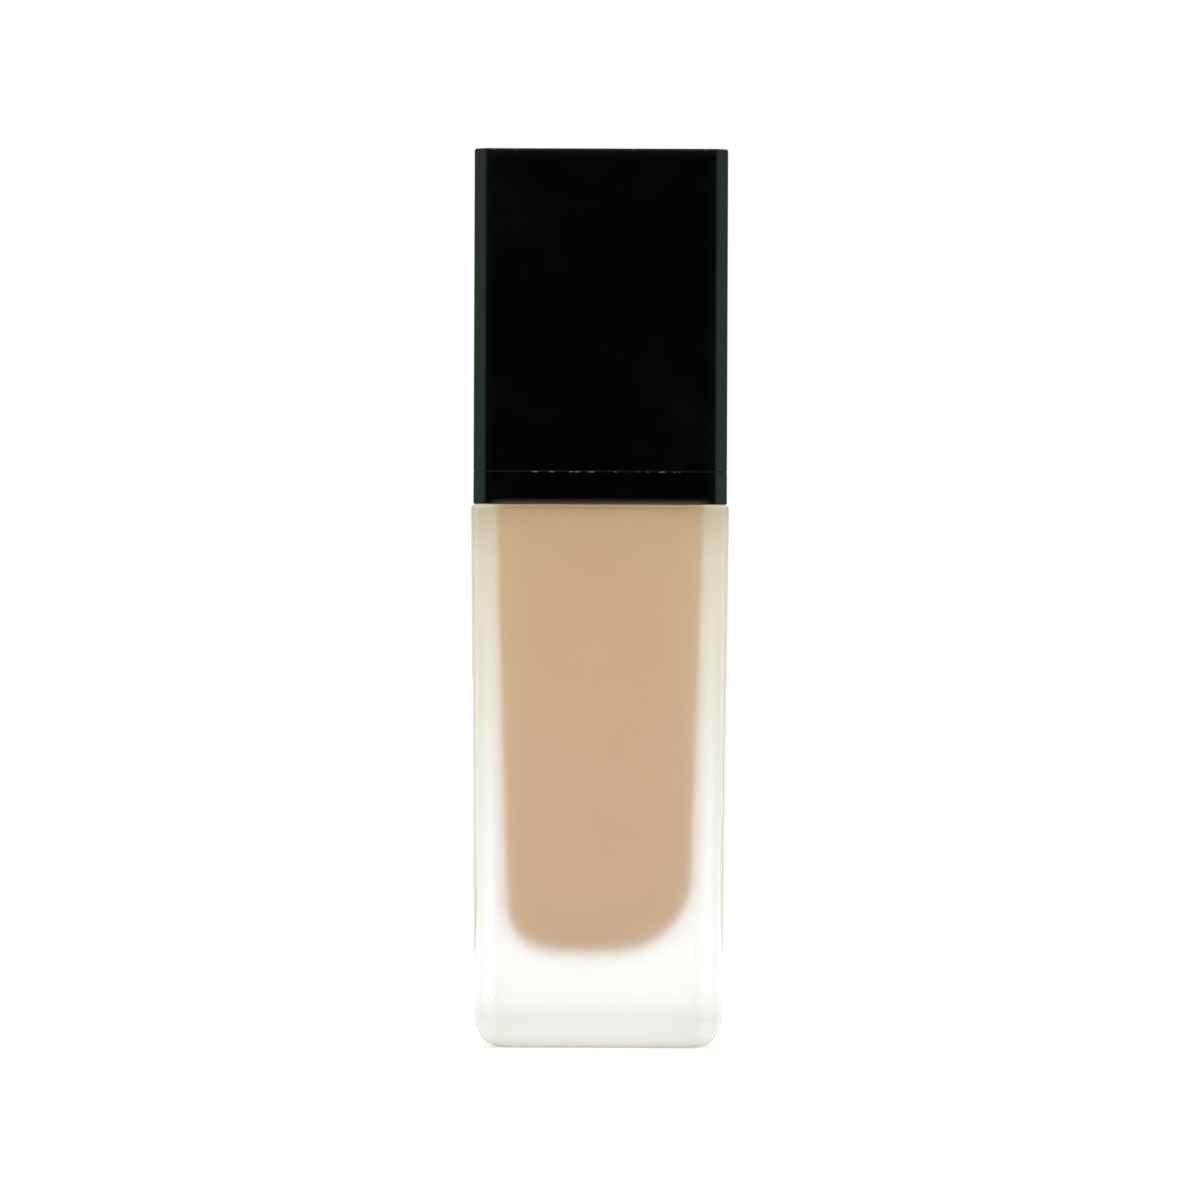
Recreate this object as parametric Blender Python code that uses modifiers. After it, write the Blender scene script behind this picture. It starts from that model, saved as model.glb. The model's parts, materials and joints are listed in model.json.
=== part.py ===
"""Foundation bottle: square heavy-base glass, treatment pump, square collar and square overcap.

Metres, +Z up. The origin is under the middle of the base, and the spout points to -Y.
"""

import math

import bmesh
import bpy

MM = 0.001

# Fits
SEAT = 0.2 * MM  # between faces that rest on each other
SLIDE = 0.1 * MM  # radial play of a sliding fit
LOOSE = 0.3 * MM  # radial play of pieces that only pass each other
FILL_GAP = 0.3 * MM  # between the fill and what it wets

# Glass body
BODY_WIDTH = 32.0 * MM  # across the flats at the shoulder
BODY_TAPER = 0.65 * MM  # lost on each side from shoulder to base
BODY_HEIGHT = 67.5 * MM  # base to shoulder
BODY_CORNER = 0.8 * MM  # radius of the upright corners
BASE_ROUND = 3.7 * MM
SHOULDER_ROUND = 0.6 * MM
BASE_THICKNESS = 11.5 * MM
BEARING_WIDTH = 2.0 * MM  # flat ring that the bottle stands on
PUSH_UP = 0.9 * MM  # hollow under the base
WALL_TOP = 2.95 * MM
WALL_BASE = 4.1 * MM
SHOULDER_THICKNESS = 0.8 * MM
CAVITY_CORNER = 4.5 * MM
CAVITY_ROUND = 6.0 * MM  # where the -X wall meets the floor
CAVITY_ROUND_FAR = 9.5 * MM  # the same at +X, where the pressed glass settled thicker
CAVITY_TOP_ROUND = 0.8 * MM
NECK_HEIGHT = 13.5 * MM
NECK_WALL = 2.5 * MM
NECK_ROOT = 0.8 * MM
RIM_ROUND = 0.5 * MM

# Small forms shared by several pieces
LEAD_IN = 0.3 * MM  # chamfer on a mouth or an end that has to find its way in
SOFT_EDGE = 0.6 * MM  # outer edge of a moulded sleeve
EDGE_BREAK = 0.3 * MM  # on the overcap's top
FINE_BREAK = 0.15 * MM  # on the collar

# Pump, from the stem outwards
STEM_BORE = 0.95 * MM
STEM_WALL = 0.95 * MM
SLEEVE_WALL = 1.45 * MM
BARREL_WALL = 1.0 * MM
NECK_PLAY = 0.6 * MM  # barrel to neck bore
THREAD_DEPTH = 1.0 * MM  # room for the thread between neck and closure
CLOSURE_WALL = 1.2 * MM
SHROUD_WALL = 1.0 * MM
SNAP_BEAD = 0.15 * MM
BEAD_HALF = 1.0 * MM
PISTON_PLAY = 0.1 * MM

# Pump, along its axis
STROKE = 4.0 * MM
PISTON_SLIP = 0.8 * MM
BALL_LIFT = 0.8 * MM
GASKET_THICKNESS = 1.0 * MM
FLANGE_THICKNESS = 1.1 * MM
CHAPLET_THICKNESS = 0.8 * MM
DECK_THICKNESS = 1.2 * MM
SLEEVE_DEPTH = 3.3 * MM
STOP_THICKNESS = 0.7 * MM
PISTON_LENGTH = 4.8 * MM
LIP_FLARE = 1.2 * MM  # length of the piston's flared ends
LIP_WALL = 0.4 * MM
STALK_LENGTH = 3.7 * MM  # piston rod inside the stem
SPIGOT_DROP = 2.3 * MM  # piston rod inside the spring
PORT_GAP = 0.7 * MM  # between the rod's cone and the stem's foot
CONE_THICKNESS = 1.0 * MM
SPRING_LENGTH = 11.8 * MM
SPRING_TURNS = 7
WIRE_RADIUS = 0.3 * MM
CAGE_THICKNESS = 1.0 * MM
BALL_RADIUS = 1.4 * MM
CHAMBER_PLAY = 1.0 * MM  # room round the ball
VENT_RADIUS = 0.4 * MM
INLET_RADIUS = 0.9 * MM
SOCKET_DEPTH = 4.0 * MM
SOCKET_WALL = 0.8 * MM
TUBE_RADIUS = 1.5 * MM
TUBE_BORE = 0.95 * MM
TUBE_CLEARANCE = 1.5 * MM  # tube end to the glass floor
TUBE_SLANT = 35  # degrees, of the tube's lower end

# Closure, shroud and collar
CLOSURE_DROP = 12.9 * MM  # closure skirt below the rim
CHAPLET_NECK = 2.1 * MM  # chaplet above the closure deck
SHROUD_LIP = 1.4 * MM
SHROUD_LIP_DEPTH = 1.0 * MM
SHROUD_OVERLAP = 0.7 * MM  # button inside the shroud at rest
COLLAR_HEIGHT = 3.95 * MM
COLLAR_FLOOR = 1.5 * MM
COLLAR_REVEAL = 0.25 * MM  # glass standing proud of the collar on each side
EDGE_CHAMFER = 1.4 * MM  # upright chamfers of collar and overcap

# Button
BUTTON_HEIGHT = 14.2 * MM
BUTTON_WALL = 1.0 * MM
BUTTON_TOP = 1.2 * MM
BUTTON_ROUND = 0.9 * MM
SPOUT_DROP = 5.5 * MM  # spout axis below the button's top
SPOUT_REACH = 10.6 * MM
SPOUT_RADIUS = 1.9 * MM
SPOUT_ROUND = 0.5 * MM
SPOUT_BORE = 0.5 * MM
SPIGOT_RADIUS = 1.2 * MM
SPIGOT_LENGTH = 3.4 * MM
BOSS_WALL = 1.2 * MM
RIB_THICKNESS = 0.8 * MM
RIB_LENGTH = 6.5 * MM
FINGER_DISH = 0.5 * MM  # hollow in the button's top

# Overcap
CAP_HEIGHT = 39.85 * MM
CAP_WALL = 1.3 * MM
LINER_WALL = 1.0 * MM
LINER_HEIGHT = 16.0 * MM
LINER_RECESS = 0.5 * MM
LINER_FLANGE = 1.2 * MM
LINER_RIBS = 8
CORNER_RIB = 4.0 * MM  # reach of the liner's ribs towards the shell's corners

WIDE = 40  # facets round the larger turned pieces
NARROW = 24  # facets round the pieces inside the pump
CORNER_STEPS = 6  # facets in a quarter round of the glass

# Radii that follow from the fits
stem_radius = STEM_BORE + STEM_WALL
sleeve_bore = stem_radius + SLIDE
sleeve_radius = sleeve_bore + SLEEVE_WALL
barrel_bore = sleeve_radius + SEAT
barrel_radius = barrel_bore + BARREL_WALL
neck_bore = barrel_radius + NECK_PLAY
neck_radius = neck_bore + NECK_WALL
closure_bore = neck_radius + THREAD_DEPTH + SEAT
closure_radius = closure_bore + CLOSURE_WALL
shroud_bore = closure_radius + SEAT
shroud_radius = shroud_bore + SHROUD_WALL
lip_bore = shroud_bore - SHROUD_LIP
button_radius = lip_bore - LOOSE
liner_bore = shroud_radius + SNAP_BEAD + SLIDE
liner_radius = liner_bore + LINER_WALL
collar_half = BODY_WIDTH / 2 - COLLAR_REVEAL
step_half = collar_half - CAP_WALL - LOOSE
chaplet_neck_radius = barrel_radius
deck_hole = chaplet_neck_radius + LOOSE
chamber_radius = BALL_RADIUS + CHAMBER_PLAY
socket_bore = TUBE_RADIUS + SLIDE
socket_radius = socket_bore + SOCKET_WALL
boss_bore = SPIGOT_RADIUS + SEAT
boss_radius = boss_bore + BOSS_WALL
core_bore = stem_radius + SLIDE
spring_radius = barrel_bore - LOOSE - SEAT - WIRE_RADIUS
core_radius = core_bore + BOSS_WALL

# Heights that follow from the stack
rim = BODY_HEIGHT + NECK_HEIGHT
gasket_bottom = rim + SEAT
gasket_top = gasket_bottom + GASKET_THICKNESS
flange_bottom = gasket_top + SEAT
flange_top = flange_bottom + FLANGE_THICKNESS
chaplet_bottom = flange_top + SEAT
chaplet_top = chaplet_bottom + CHAPLET_THICKNESS
deck_bottom = chaplet_top + SEAT
deck_top = deck_bottom + DECK_THICKNESS
guide_top = deck_top + CHAPLET_NECK
sleeve_bottom = flange_top - SLEEVE_DEPTH
stop_top = sleeve_bottom - SEAT
stop_bottom = stop_top - STOP_THICKNESS
piston_top = stop_bottom - SEAT - PISTON_SLIP
piston_bottom = piston_top - PISTON_LENGTH
cone_top = piston_bottom - SEAT
cone_bottom = cone_top - CONE_THICKNESS
spring_top = cone_bottom - SEAT
spring_bottom = spring_top - SPRING_LENGTH
cage_top = spring_bottom - SEAT
cage_bottom = cage_top - CAGE_THICKNESS
ledge = cage_bottom - SEAT
ball_height = cage_bottom - SEAT - BALL_LIFT - BALL_RADIUS
cone_apex = ball_height - (BALL_RADIUS + SLIDE) * math.sqrt(2)
inlet_top = cone_apex + INLET_RADIUS
tube_top_seat = inlet_top - 2 * INLET_RADIUS
tube_top = tube_top_seat - SEAT
socket_bottom = tube_top_seat - SOCKET_DEPTH
tube_bottom = BASE_THICKNESS + TUBE_CLEARANCE
closure_bottom = rim - CLOSURE_DROP
collar_bottom = BODY_HEIGHT + SEAT
collar_top = collar_bottom + COLLAR_HEIGHT
shroud_bottom = collar_bottom + COLLAR_FLOOR + SEAT
button_bottom = deck_top + STROKE + LOOSE
button_top = button_bottom + BUTTON_HEIGHT
button_ceiling = button_top - BUTTON_TOP
shroud_top = button_bottom + SHROUD_OVERLAP
spout_height = button_top - SPOUT_DROP
core_bottom = guide_top + STROKE + LOOSE
core_top = button_ceiling - SEAT
stem_top = spout_height - boss_bore - BOSS_WALL / 2
skirt_inner = button_radius - BUTTON_WALL
boss_reach = math.sqrt((skirt_inner - LOOSE) ** 2 - boss_radius**2)
cap_bottom = collar_top + SEAT
cap_top = cap_bottom + CAP_HEIGHT
liner_bottom = cap_bottom + LINER_RECESS
step_top = liner_bottom - SEAT
bead_height = (collar_top + shroud_top) / 2

FINISHES = {
    "glass_bottle": ((0.86, 0.87, 0.84), 0.4, 0.0),
    "foundation_liquid": ((0.61, 0.40, 0.246), 0.35, 0.0),
    "neck_gasket": ((0.82, 0.82, 0.80), 0.6, 0.0),
    "pump_housing": ((0.80, 0.81, 0.80), 0.4, 0.0),
    "dip_tube": ((0.78, 0.80, 0.79), 0.35, 0.0),
    "inlet_ball": ((0.60, 0.60, 0.61), 0.15, 1.0),
    "ball_cage": ((0.80, 0.81, 0.80), 0.45, 0.0),
    "return_spring": ((0.56, 0.57, 0.58), 0.25, 1.0),
    "piston_rod": ((0.78, 0.79, 0.78), 0.4, 0.0),
    "piston": ((0.72, 0.74, 0.76), 0.5, 0.0),
    "stem": ((0.80, 0.81, 0.80), 0.4, 0.0),
    "chaplet": ((0.80, 0.81, 0.80), 0.4, 0.0),
    "screw_closure": ((0.012, 0.012, 0.013), 0.4, 0.0),
    "pump_shroud": ((0.010, 0.010, 0.011), 0.18, 0.0),
    "square_collar": ((0.006, 0.006, 0.007), 0.15, 0.0),
    "actuator_button": ((0.010, 0.010, 0.011), 0.2, 0.0),
    "actuator_core": ((0.012, 0.012, 0.013), 0.4, 0.0),
    "nozzle_spout": ((0.010, 0.010, 0.011), 0.25, 0.0),
    "overcap_shell": ((0.006, 0.006, 0.007), 0.12, 0.0),
    "overcap_liner": ((0.012, 0.012, 0.013), 0.45, 0.0),
}


def clear_scene():
    for obj in list(bpy.data.objects):
        bpy.data.objects.remove(obj, do_unlink=True)


def make_collection(name):
    made = bpy.data.collections.new(name)
    bpy.context.scene.collection.children.link(made)
    return made


def make_frame(name, height, parent=None):
    """An empty on the pump's axis that carries one moving body."""
    frame = bpy.data.objects.new(name, None)
    frame.empty_display_size = 4 * MM
    frame.location.z = height - (parent["height"] if parent else 0.0)
    frame["height"] = height
    frame.parent = parent
    parts.objects.link(frame)
    return frame


def evaluated_mesh(obj):
    """The object's mesh with its modifiers applied, shaded smooth between its sharp edges."""
    bpy.context.view_layer.update()
    graph = bpy.context.evaluated_depsgraph_get()
    mesh = bpy.data.meshes.new_from_object(obj.evaluated_get(graph))
    mesh.shade_smooth()
    mesh.set_sharp_from_angle(angle=math.radians(35))
    return mesh


def keep(name, mesh, frame, seat):
    """Puts a mesh whose heights run from the base under its frame, with its origin at its seat."""
    for vertex in mesh.vertices:
        vertex.co.z -= seat
    piece = bpy.data.objects.new(name, mesh)
    piece.parent = frame
    piece.location.z = seat - frame["height"]
    parts.objects.link(piece)
    color, roughness, metallic = FINISHES[name]
    finish = bpy.data.materials.new(name)
    finish.use_nodes = True
    shader = finish.node_tree.nodes["Principled BSDF"]
    shader.inputs["Base Color"].default_value = (*color, 1.0)
    shader.inputs["Roughness"].default_value = roughness
    shader.inputs["Metallic"].default_value = metallic
    mesh.materials.clear()
    mesh.materials.append(finish)
    return piece


def make_tool(name, mesh):
    """A cutter or a shape to be joined, which is no piece of its own."""
    tool = bpy.data.objects.new(name, mesh)
    tool.hide_render = True
    tool.display_type = "WIRE"
    tools.objects.link(tool)
    return tool


def combine(piece, tool, operation):
    step = piece.modifiers.new(f"{operation.lower()} {tool.name}", "BOOLEAN")
    step.operation = operation
    step.solver = "EXACT"
    step.object = tool


def cut(piece, tool):
    combine(piece, tool, "DIFFERENCE")


def join(piece, tool):
    combine(piece, tool, "UNION")


def arc(center_x, center_z, radius, start, end, steps=5):
    """Points of a round stretch in a profile, by angles in degrees from +X."""
    turns = [math.radians(start + (end - start) * i / steps) for i in range(steps + 1)]
    return [(center_x + radius * math.cos(a), center_z + radius * math.sin(a)) for a in turns]


def turned(profile, facets):
    """Mesh of a profile turned about Z: listed down its outer side, and closed if it keeps off the axis."""
    mesh = bpy.data.meshes.new("profile")
    points = [(x, 0.0, z) for x, z in profile]
    edges = [(i, i + 1) for i in range(len(points) - 1)]
    if min(x for x, _ in profile) > 0:
        edges.append((len(points) - 1, 0))
    mesh.from_pydata(points, edges, [])
    guide = bpy.data.objects.new("profile", mesh)
    bpy.context.scene.collection.objects.link(guide)
    screw = guide.modifiers.new("turn", "SCREW")
    screw.steps = round(facets)
    screw.render_steps = round(facets)
    screw.use_merge_vertices = True
    screw.merge_threshold = 1e-6
    result = evaluated_mesh(guide)
    bpy.data.objects.remove(guide)
    return result


def rounded_square(half, corner, height, shift=0.0):
    """Points of a rounded square, anticlockwise. A corner as large as the half width gives a circle."""
    points = []
    steps = round(CORNER_STEPS)
    for quarter, (side_x, side_y) in enumerate(((1, 1), (-1, 1), (-1, -1), (1, -1))):
        center_x = shift + side_x * (half - corner)
        center_y = side_y * (half - corner)
        for step in range(steps + 1):
            angle = math.radians(90 * (quarter + step / steps))
            x = center_x + corner * math.cos(angle)
            y = center_y + corner * math.sin(angle)
            points.append((x, y, height))
    return points


def lofted(sections):
    """Closed mesh through rounded squares, listed from the lower cap round to the last one."""
    shape = bmesh.new()
    rings = [[shape.verts.new(p) for p in rounded_square(*section)] for section in sections]
    shape.faces.new(reversed(rings[0]))
    for lower, upper in zip(rings, rings[1:]):
        count = len(lower)
        for i in range(count):
            after = (i + 1) % count
            shape.faces.new((lower[i], lower[after], upper[after], upper[i]))
    shape.faces.new(rings[-1])
    bmesh.ops.remove_doubles(shape, verts=shape.verts, dist=1e-7)
    mesh = bpy.data.meshes.new("loft")
    shape.to_mesh(mesh)
    shape.free()
    mesh.shade_smooth()
    mesh.set_sharp_from_angle(angle=math.radians(35))
    return mesh


def box_mesh(size_x, size_y, bottom, top, chamfer=0.0, edge_break=0.0, open_bottom=False):
    """A block on the axis, with upright chamfers and a fine break on its level edges."""
    shape = bmesh.new()
    bmesh.ops.create_cube(shape, size=1.0)
    for vertex in shape.verts:
        vertex.co.x *= size_x
        vertex.co.y *= size_y
        vertex.co.z = top if vertex.co.z > 0 else bottom
    if chamfer:
        upright = [e for e in shape.edges if e.verts[0].co.xy == e.verts[1].co.xy]
        bmesh.ops.bevel(shape, geom=upright, offset=chamfer, segments=1, affect="EDGES")
    if open_bottom:
        floor = [f for f in shape.faces if f.normal.z < -0.9]
        bmesh.ops.delete(shape, geom=floor, context="FACES")
    if edge_break:
        level = [e for e in shape.edges if not e.is_boundary and e.verts[0].co.z == e.verts[1].co.z]
        bmesh.ops.bevel(shape, geom=level, offset=edge_break, segments=2, profile=0.5, affect="EDGES")
    mesh = bpy.data.meshes.new("block")
    shape.to_mesh(mesh)
    shape.free()
    return mesh


def lay_forward(mesh, height):
    """Turns a mesh made along +Z so that it points to -Y, at this height."""
    for vertex in mesh.vertices:
        x, y, z = vertex.co
        vertex.co = (x, -z, y + height)
    return mesh


def body_half(height):
    return BODY_WIDTH / 2 - BODY_TAPER * (1 - height / BODY_HEIGHT)


def base_sections():
    """The underside: a shallow dish, the flat bearing ring and the rounded edge."""
    flat_half = body_half(BASE_ROUND) - BASE_ROUND
    dish_half = flat_half - BEARING_WIDTH
    dish_steps = 4
    for i in range(1, dish_steps + 1):
        share = i / dish_steps
        yield dish_half * share, dish_half * share * 0.6, PUSH_UP * (1 - share**2)
    corner = BODY_CORNER + BASE_ROUND / 2
    for x, z in arc(flat_half, BASE_ROUND, BASE_ROUND, -90, 0):
        inset = flat_half + BASE_ROUND - x
        yield x, min(BODY_CORNER + inset / 2, corner), z


def neck_sections():
    """From the shoulder's edge up the neck, over the rim and down the bore."""
    edge_half = BODY_WIDTH / 2 - SHOULDER_ROUND
    for x, z in arc(edge_half, BODY_HEIGHT - SHOULDER_ROUND, SHOULDER_ROUND, 0, 90, 4):
        yield x, BODY_CORNER, z
    for x, z in arc(neck_radius + NECK_ROOT, BODY_HEIGHT + NECK_ROOT, NECK_ROOT, 270, 180, 3):
        yield x, x, z
    for x, z in arc(neck_radius - RIM_ROUND, rim - RIM_ROUND, RIM_ROUND, 0, 90, 3):
        yield x, x, z
    for x, z in arc(neck_bore + RIM_ROUND, rim - RIM_ROUND, RIM_ROUND, 90, 180, 3):
        yield x, x, z


def round_inset(radius, rise):
    """How far a floor round of this radius keeps from the wall, at this height over the floor."""
    left = max(radius - rise, 0.0)
    return radius - math.sqrt(radius**2 - left**2)


def cavity_sections(gap=0.0):
    """Inside of the glass from the floor up to the ceiling, smaller by the gap on every side."""
    floor = BASE_THICKNESS + gap
    ceiling = BODY_HEIGHT - SHOULDER_THICKNESS - gap
    floor_half = body_half(BASE_THICKNESS) - WALL_BASE - gap
    ceiling_half = BODY_WIDTH / 2 - WALL_TOP - gap
    corner = CAVITY_CORNER - gap

    def wall_half(height):
        return floor_half + (ceiling_half - floor_half) * (height - floor) / (ceiling - floor)

    tallest = max(CAVITY_ROUND, CAVITY_ROUND_FAR)
    for _, drop in arc(0.0, 0.0, tallest, 0, -90, 7)[::-1]:
        rise = tallest + drop
        near = round_inset(CAVITY_ROUND, rise)
        far = round_inset(CAVITY_ROUND_FAR, rise)
        half = wall_half(floor + rise) - (near + far) / 2
        yield half, min(half, corner), floor + rise, (near - far) / 2
    high_half = wall_half(ceiling - CAVITY_TOP_ROUND) - CAVITY_TOP_ROUND
    for x, z in arc(high_half, ceiling - CAVITY_TOP_ROUND, CAVITY_TOP_ROUND, 0, 90, 3):
        yield x, corner, z


def make_glass():
    inside = list(cavity_sections())[::-1]
    ceiling = inside[0][2]
    throat = [(neck_bore, neck_bore, ceiling)]
    sections = [*base_sections(), *neck_sections(), *throat, *inside]
    return keep("glass_bottle", lofted(sections), bottle, 0.0)


def make_fill():
    """The make-up, filled to the shoulder, with the hollow that the pump hangs in."""
    piece = keep("foundation_liquid", lofted(list(cavity_sections(FILL_GAP))), bottle, BASE_THICKNESS)
    hollow = [(x + FILL_GAP, z - FILL_GAP) for x, z in housing_outside()]
    above = BODY_HEIGHT + NECK_HEIGHT / 2
    hollow[0] = (hollow[0][0], above)
    end = (TUBE_RADIUS + FILL_GAP, tube_bottom - FILL_GAP)
    profile = [(0.0, above), *hollow, (end[0], hollow[-1][1]), end, (0.0, end[1])]
    cut(piece, make_tool("pump_hollow", turned(profile, NARROW)))
    return piece


def make_gasket():
    outer = neck_radius - SEAT
    profile = [
        (outer, gasket_top),
        (outer, gasket_bottom),
        (barrel_radius + SLIDE, gasket_bottom),
        (barrel_radius + SLIDE, gasket_top),
    ]
    return keep("neck_gasket", turned(profile, WIDE), gasket, gasket_bottom)


def housing_outside():
    """Outer profile of the barrel, the ball chamber and the tube socket, from under the flange down."""
    chamber_outer = chamber_radius + BARREL_WALL
    step = barrel_radius - chamber_outer
    shoulder = ledge - BARREL_WALL / 2
    chamber_end = inlet_top - INLET_RADIUS
    return [
        (barrel_radius, flange_bottom),
        (barrel_radius, shoulder),
        (chamber_outer, shoulder - step),
        (chamber_outer, chamber_end),
        (socket_radius, chamber_end - (chamber_outer - socket_radius)),
        (socket_radius, socket_bottom),
    ]


def make_housing():
    flange = neck_radius - SEAT / 2
    inside = [
        (socket_bore, socket_bottom),
        (socket_bore, tube_top_seat),
        (INLET_RADIUS, tube_top_seat),
        (INLET_RADIUS, inlet_top),
        (chamber_radius, cone_apex + chamber_radius),
        (chamber_radius, ledge),
        (barrel_bore, ledge),
        (barrel_bore, flange_top),
    ]
    profile = [(flange, flange_top), (flange, flange_bottom), *housing_outside(), *inside]
    piece = keep("pump_housing", turned(profile, NARROW), pump, flange_bottom)
    vent = bmesh.new()
    bmesh.ops.create_cone(
        vent, cap_ends=True, segments=10, radius1=VENT_RADIUS, radius2=VENT_RADIUS, depth=3 * BARREL_WALL
    )
    vent_mesh = bpy.data.meshes.new("vent")
    vent.to_mesh(vent_mesh)
    vent.free()
    lay_forward(vent_mesh, piston_top)
    for vertex in vent_mesh.vertices:
        vertex.co.y -= barrel_bore + BARREL_WALL / 2
    cut(piece, make_tool("air_vent", vent_mesh))
    return piece


def make_dip_tube():
    """Suction tube, cut on a slant so that it can't seal itself on the floor."""
    profile = [
        (TUBE_RADIUS, tube_top),
        (TUBE_RADIUS, tube_bottom),
        (TUBE_BORE, tube_bottom),
        (TUBE_BORE, tube_top),
    ]
    mesh = turned(profile, NARROW)
    slant = math.tan(math.radians(TUBE_SLANT))
    middle = (tube_top + tube_bottom) / 2
    for vertex in mesh.vertices:
        if vertex.co.z < middle:
            vertex.co.z += (vertex.co.x + TUBE_RADIUS) * slant
    return keep("dip_tube", mesh, pump, tube_top)


def make_ball():
    shape = bmesh.new()
    bmesh.ops.create_uvsphere(shape, u_segments=16, v_segments=10, radius=BALL_RADIUS)
    for vertex in shape.verts:
        vertex.co.z += ball_height
    mesh = bpy.data.meshes.new("ball")
    shape.to_mesh(mesh)
    shape.free()
    mesh.shade_smooth()
    return keep("inlet_ball", mesh, ball, ball_height)


def make_cage():
    """Ring over the ball chamber with a crossbar that holds the ball down."""
    outer = barrel_bore - SLIDE
    inner = chamber_radius - SLIDE
    profile = [(outer, cage_top), (outer, cage_bottom), (inner, cage_bottom), (inner, cage_top)]
    piece = keep("ball_cage", turned(profile, NARROW), pump, cage_bottom)
    low = cage_bottom + CAGE_THICKNESS * 0.1
    high = cage_top - CAGE_THICKNESS * 0.1
    join(piece, make_tool("cage_bar", box_mesh(inner * 2.4, inner * 0.5, low, high)))
    return piece


def spring_points(turns, radius, bottom, top, per_turn=12):
    """Helix with one closed turn at each end."""
    closed_rise = WIRE_RADIUS * 2.3
    low = bottom + WIRE_RADIUS
    high = top - WIRE_RADIUS
    total = turns + 2
    pitch = (high - low - 2 * closed_rise) / turns
    for i in range(round(total * per_turn) + 1):
        turn = i / per_turn
        open_turns = min(max(turn - 1, 0), turns)
        closed_turns = turn - open_turns
        height = low + closed_turns * closed_rise + open_turns * pitch
        angle = math.tau * turn
        yield radius * math.cos(angle), radius * math.sin(angle), height


def make_spring():
    points = list(spring_points(SPRING_TURNS, spring_radius, spring_bottom, spring_top))
    curve = bpy.data.curves.new("spring", "CURVE")
    curve.dimensions = "3D"
    curve.bevel_depth = WIRE_RADIUS
    curve.bevel_resolution = 2
    curve.use_fill_caps = True
    wire = curve.splines.new("POLY")
    wire.points.add(len(points) - 1)
    for point, place in zip(wire.points, points):
        point.co = (*place, 1.0)
    guide = bpy.data.objects.new("spring", curve)
    bpy.context.scene.collection.objects.link(guide)
    mesh = evaluated_mesh(guide)
    bpy.data.objects.remove(guide)
    shape = bmesh.new()
    shape.from_mesh(mesh)
    bmesh.ops.remove_doubles(shape, verts=shape.verts, dist=1e-6)
    shape.to_mesh(mesh)
    shape.free()
    return keep("return_spring", mesh, pump, spring_bottom)


def make_piston_rod():
    """Spring seat and valve cone, with the stalk that is pressed into the stem."""
    cone = spring_radius + WIRE_RADIUS
    spigot = spring_radius - WIRE_RADIUS - 2 * SEAT
    stalk_top = cone_top + STALK_LENGTH
    spigot_bottom = cone_bottom - SPIGOT_DROP
    profile = [
        (0.0, stalk_top),
        (STEM_BORE - LEAD_IN, stalk_top),
        (STEM_BORE, stalk_top - LEAD_IN),
        (STEM_BORE, cone_top),
        (cone, cone_top),
        (cone, cone_bottom),
        (spigot, cone_bottom),
        (spigot, spigot_bottom + LEAD_IN),
        (spigot - LEAD_IN, spigot_bottom),
        (0.0, spigot_bottom),
    ]
    return keep("piston_rod", turned(profile, NARROW), stem, cone_top)


def make_piston():
    """Seal with a thin lip at each end, so that its waist stays clear of the barrel."""
    lip = barrel_bore - PISTON_PLAY
    groove = lip - LIP_WALL * 2
    inner = sleeve_bore + LEAD_IN
    depth = LIP_FLARE * 0.7
    profile = [
        (lip, piston_top),
        (lip - LIP_WALL, piston_top - LIP_FLARE),
        (lip - LIP_WALL, piston_bottom + LIP_FLARE),
        (lip, piston_bottom),
        (lip - LIP_WALL, piston_bottom),
        (groove, piston_bottom + depth),
        (inner, piston_bottom + depth),
        (sleeve_bore, piston_bottom),
        (sleeve_bore, piston_top - LEAD_IN),
        (inner, piston_top - depth),
        (groove, piston_top - depth),
        (lip - LIP_WALL, piston_top),
    ]
    return keep("piston", turned(profile, NARROW), piston, piston_bottom)


def make_stem():
    """Discharge stem, wider inside at the foot, where the rod's stalk goes in."""
    foot = cone_top + PORT_GAP
    foot_bore = STEM_BORE + SEAT
    foot_top = cone_top + STALK_LENGTH + LEAD_IN
    stop = sleeve_radius - SOFT_EDGE
    profile = [
        (stem_radius - LEAD_IN, stem_top),
        (stem_radius, stem_top - LEAD_IN),
        (stem_radius, stop_top),
        (stop, stop_top),
        (stop, stop_bottom),
        (stem_radius, stop_bottom),
        (stem_radius, foot),
        (foot_bore, foot),
        (foot_bore, foot_top),
        (STEM_BORE, foot_top + LEAD_IN),
        (STEM_BORE, stem_top),
    ]
    return keep("stem", turned(profile, NARROW), stem, stop_top)


def make_chaplet():
    """Guide insert: flange over the barrel, sleeve inside it and a cup round the stem above."""
    flange = neck_radius - LOOSE
    cup_floor = chaplet_top + SOFT_EDGE
    profile = [
        (chaplet_neck_radius - LEAD_IN, guide_top),
        (chaplet_neck_radius, guide_top - LEAD_IN),
        (chaplet_neck_radius, chaplet_top),
        (flange, chaplet_top),
        (flange, chaplet_bottom),
        (sleeve_radius, chaplet_bottom),
        (sleeve_radius, sleeve_bottom),
        (sleeve_bore, sleeve_bottom),
        (sleeve_bore, cup_floor),
        (sleeve_radius, cup_floor),
        (sleeve_radius, guide_top),
    ]
    return keep("chaplet", turned(profile, NARROW), pump, chaplet_bottom)


def make_closure():
    profile = [
        (deck_hole, deck_top),
        (closure_radius - SOFT_EDGE, deck_top),
        (closure_radius, deck_top - SOFT_EDGE),
        (closure_radius, closure_bottom),
        (closure_bore + LEAD_IN, closure_bottom),
        (closure_bore, closure_bottom + LEAD_IN),
        (closure_bore, deck_bottom),
        (deck_hole, deck_bottom),
    ]
    return keep("screw_closure", turned(profile, WIDE), closure, deck_bottom)


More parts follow.
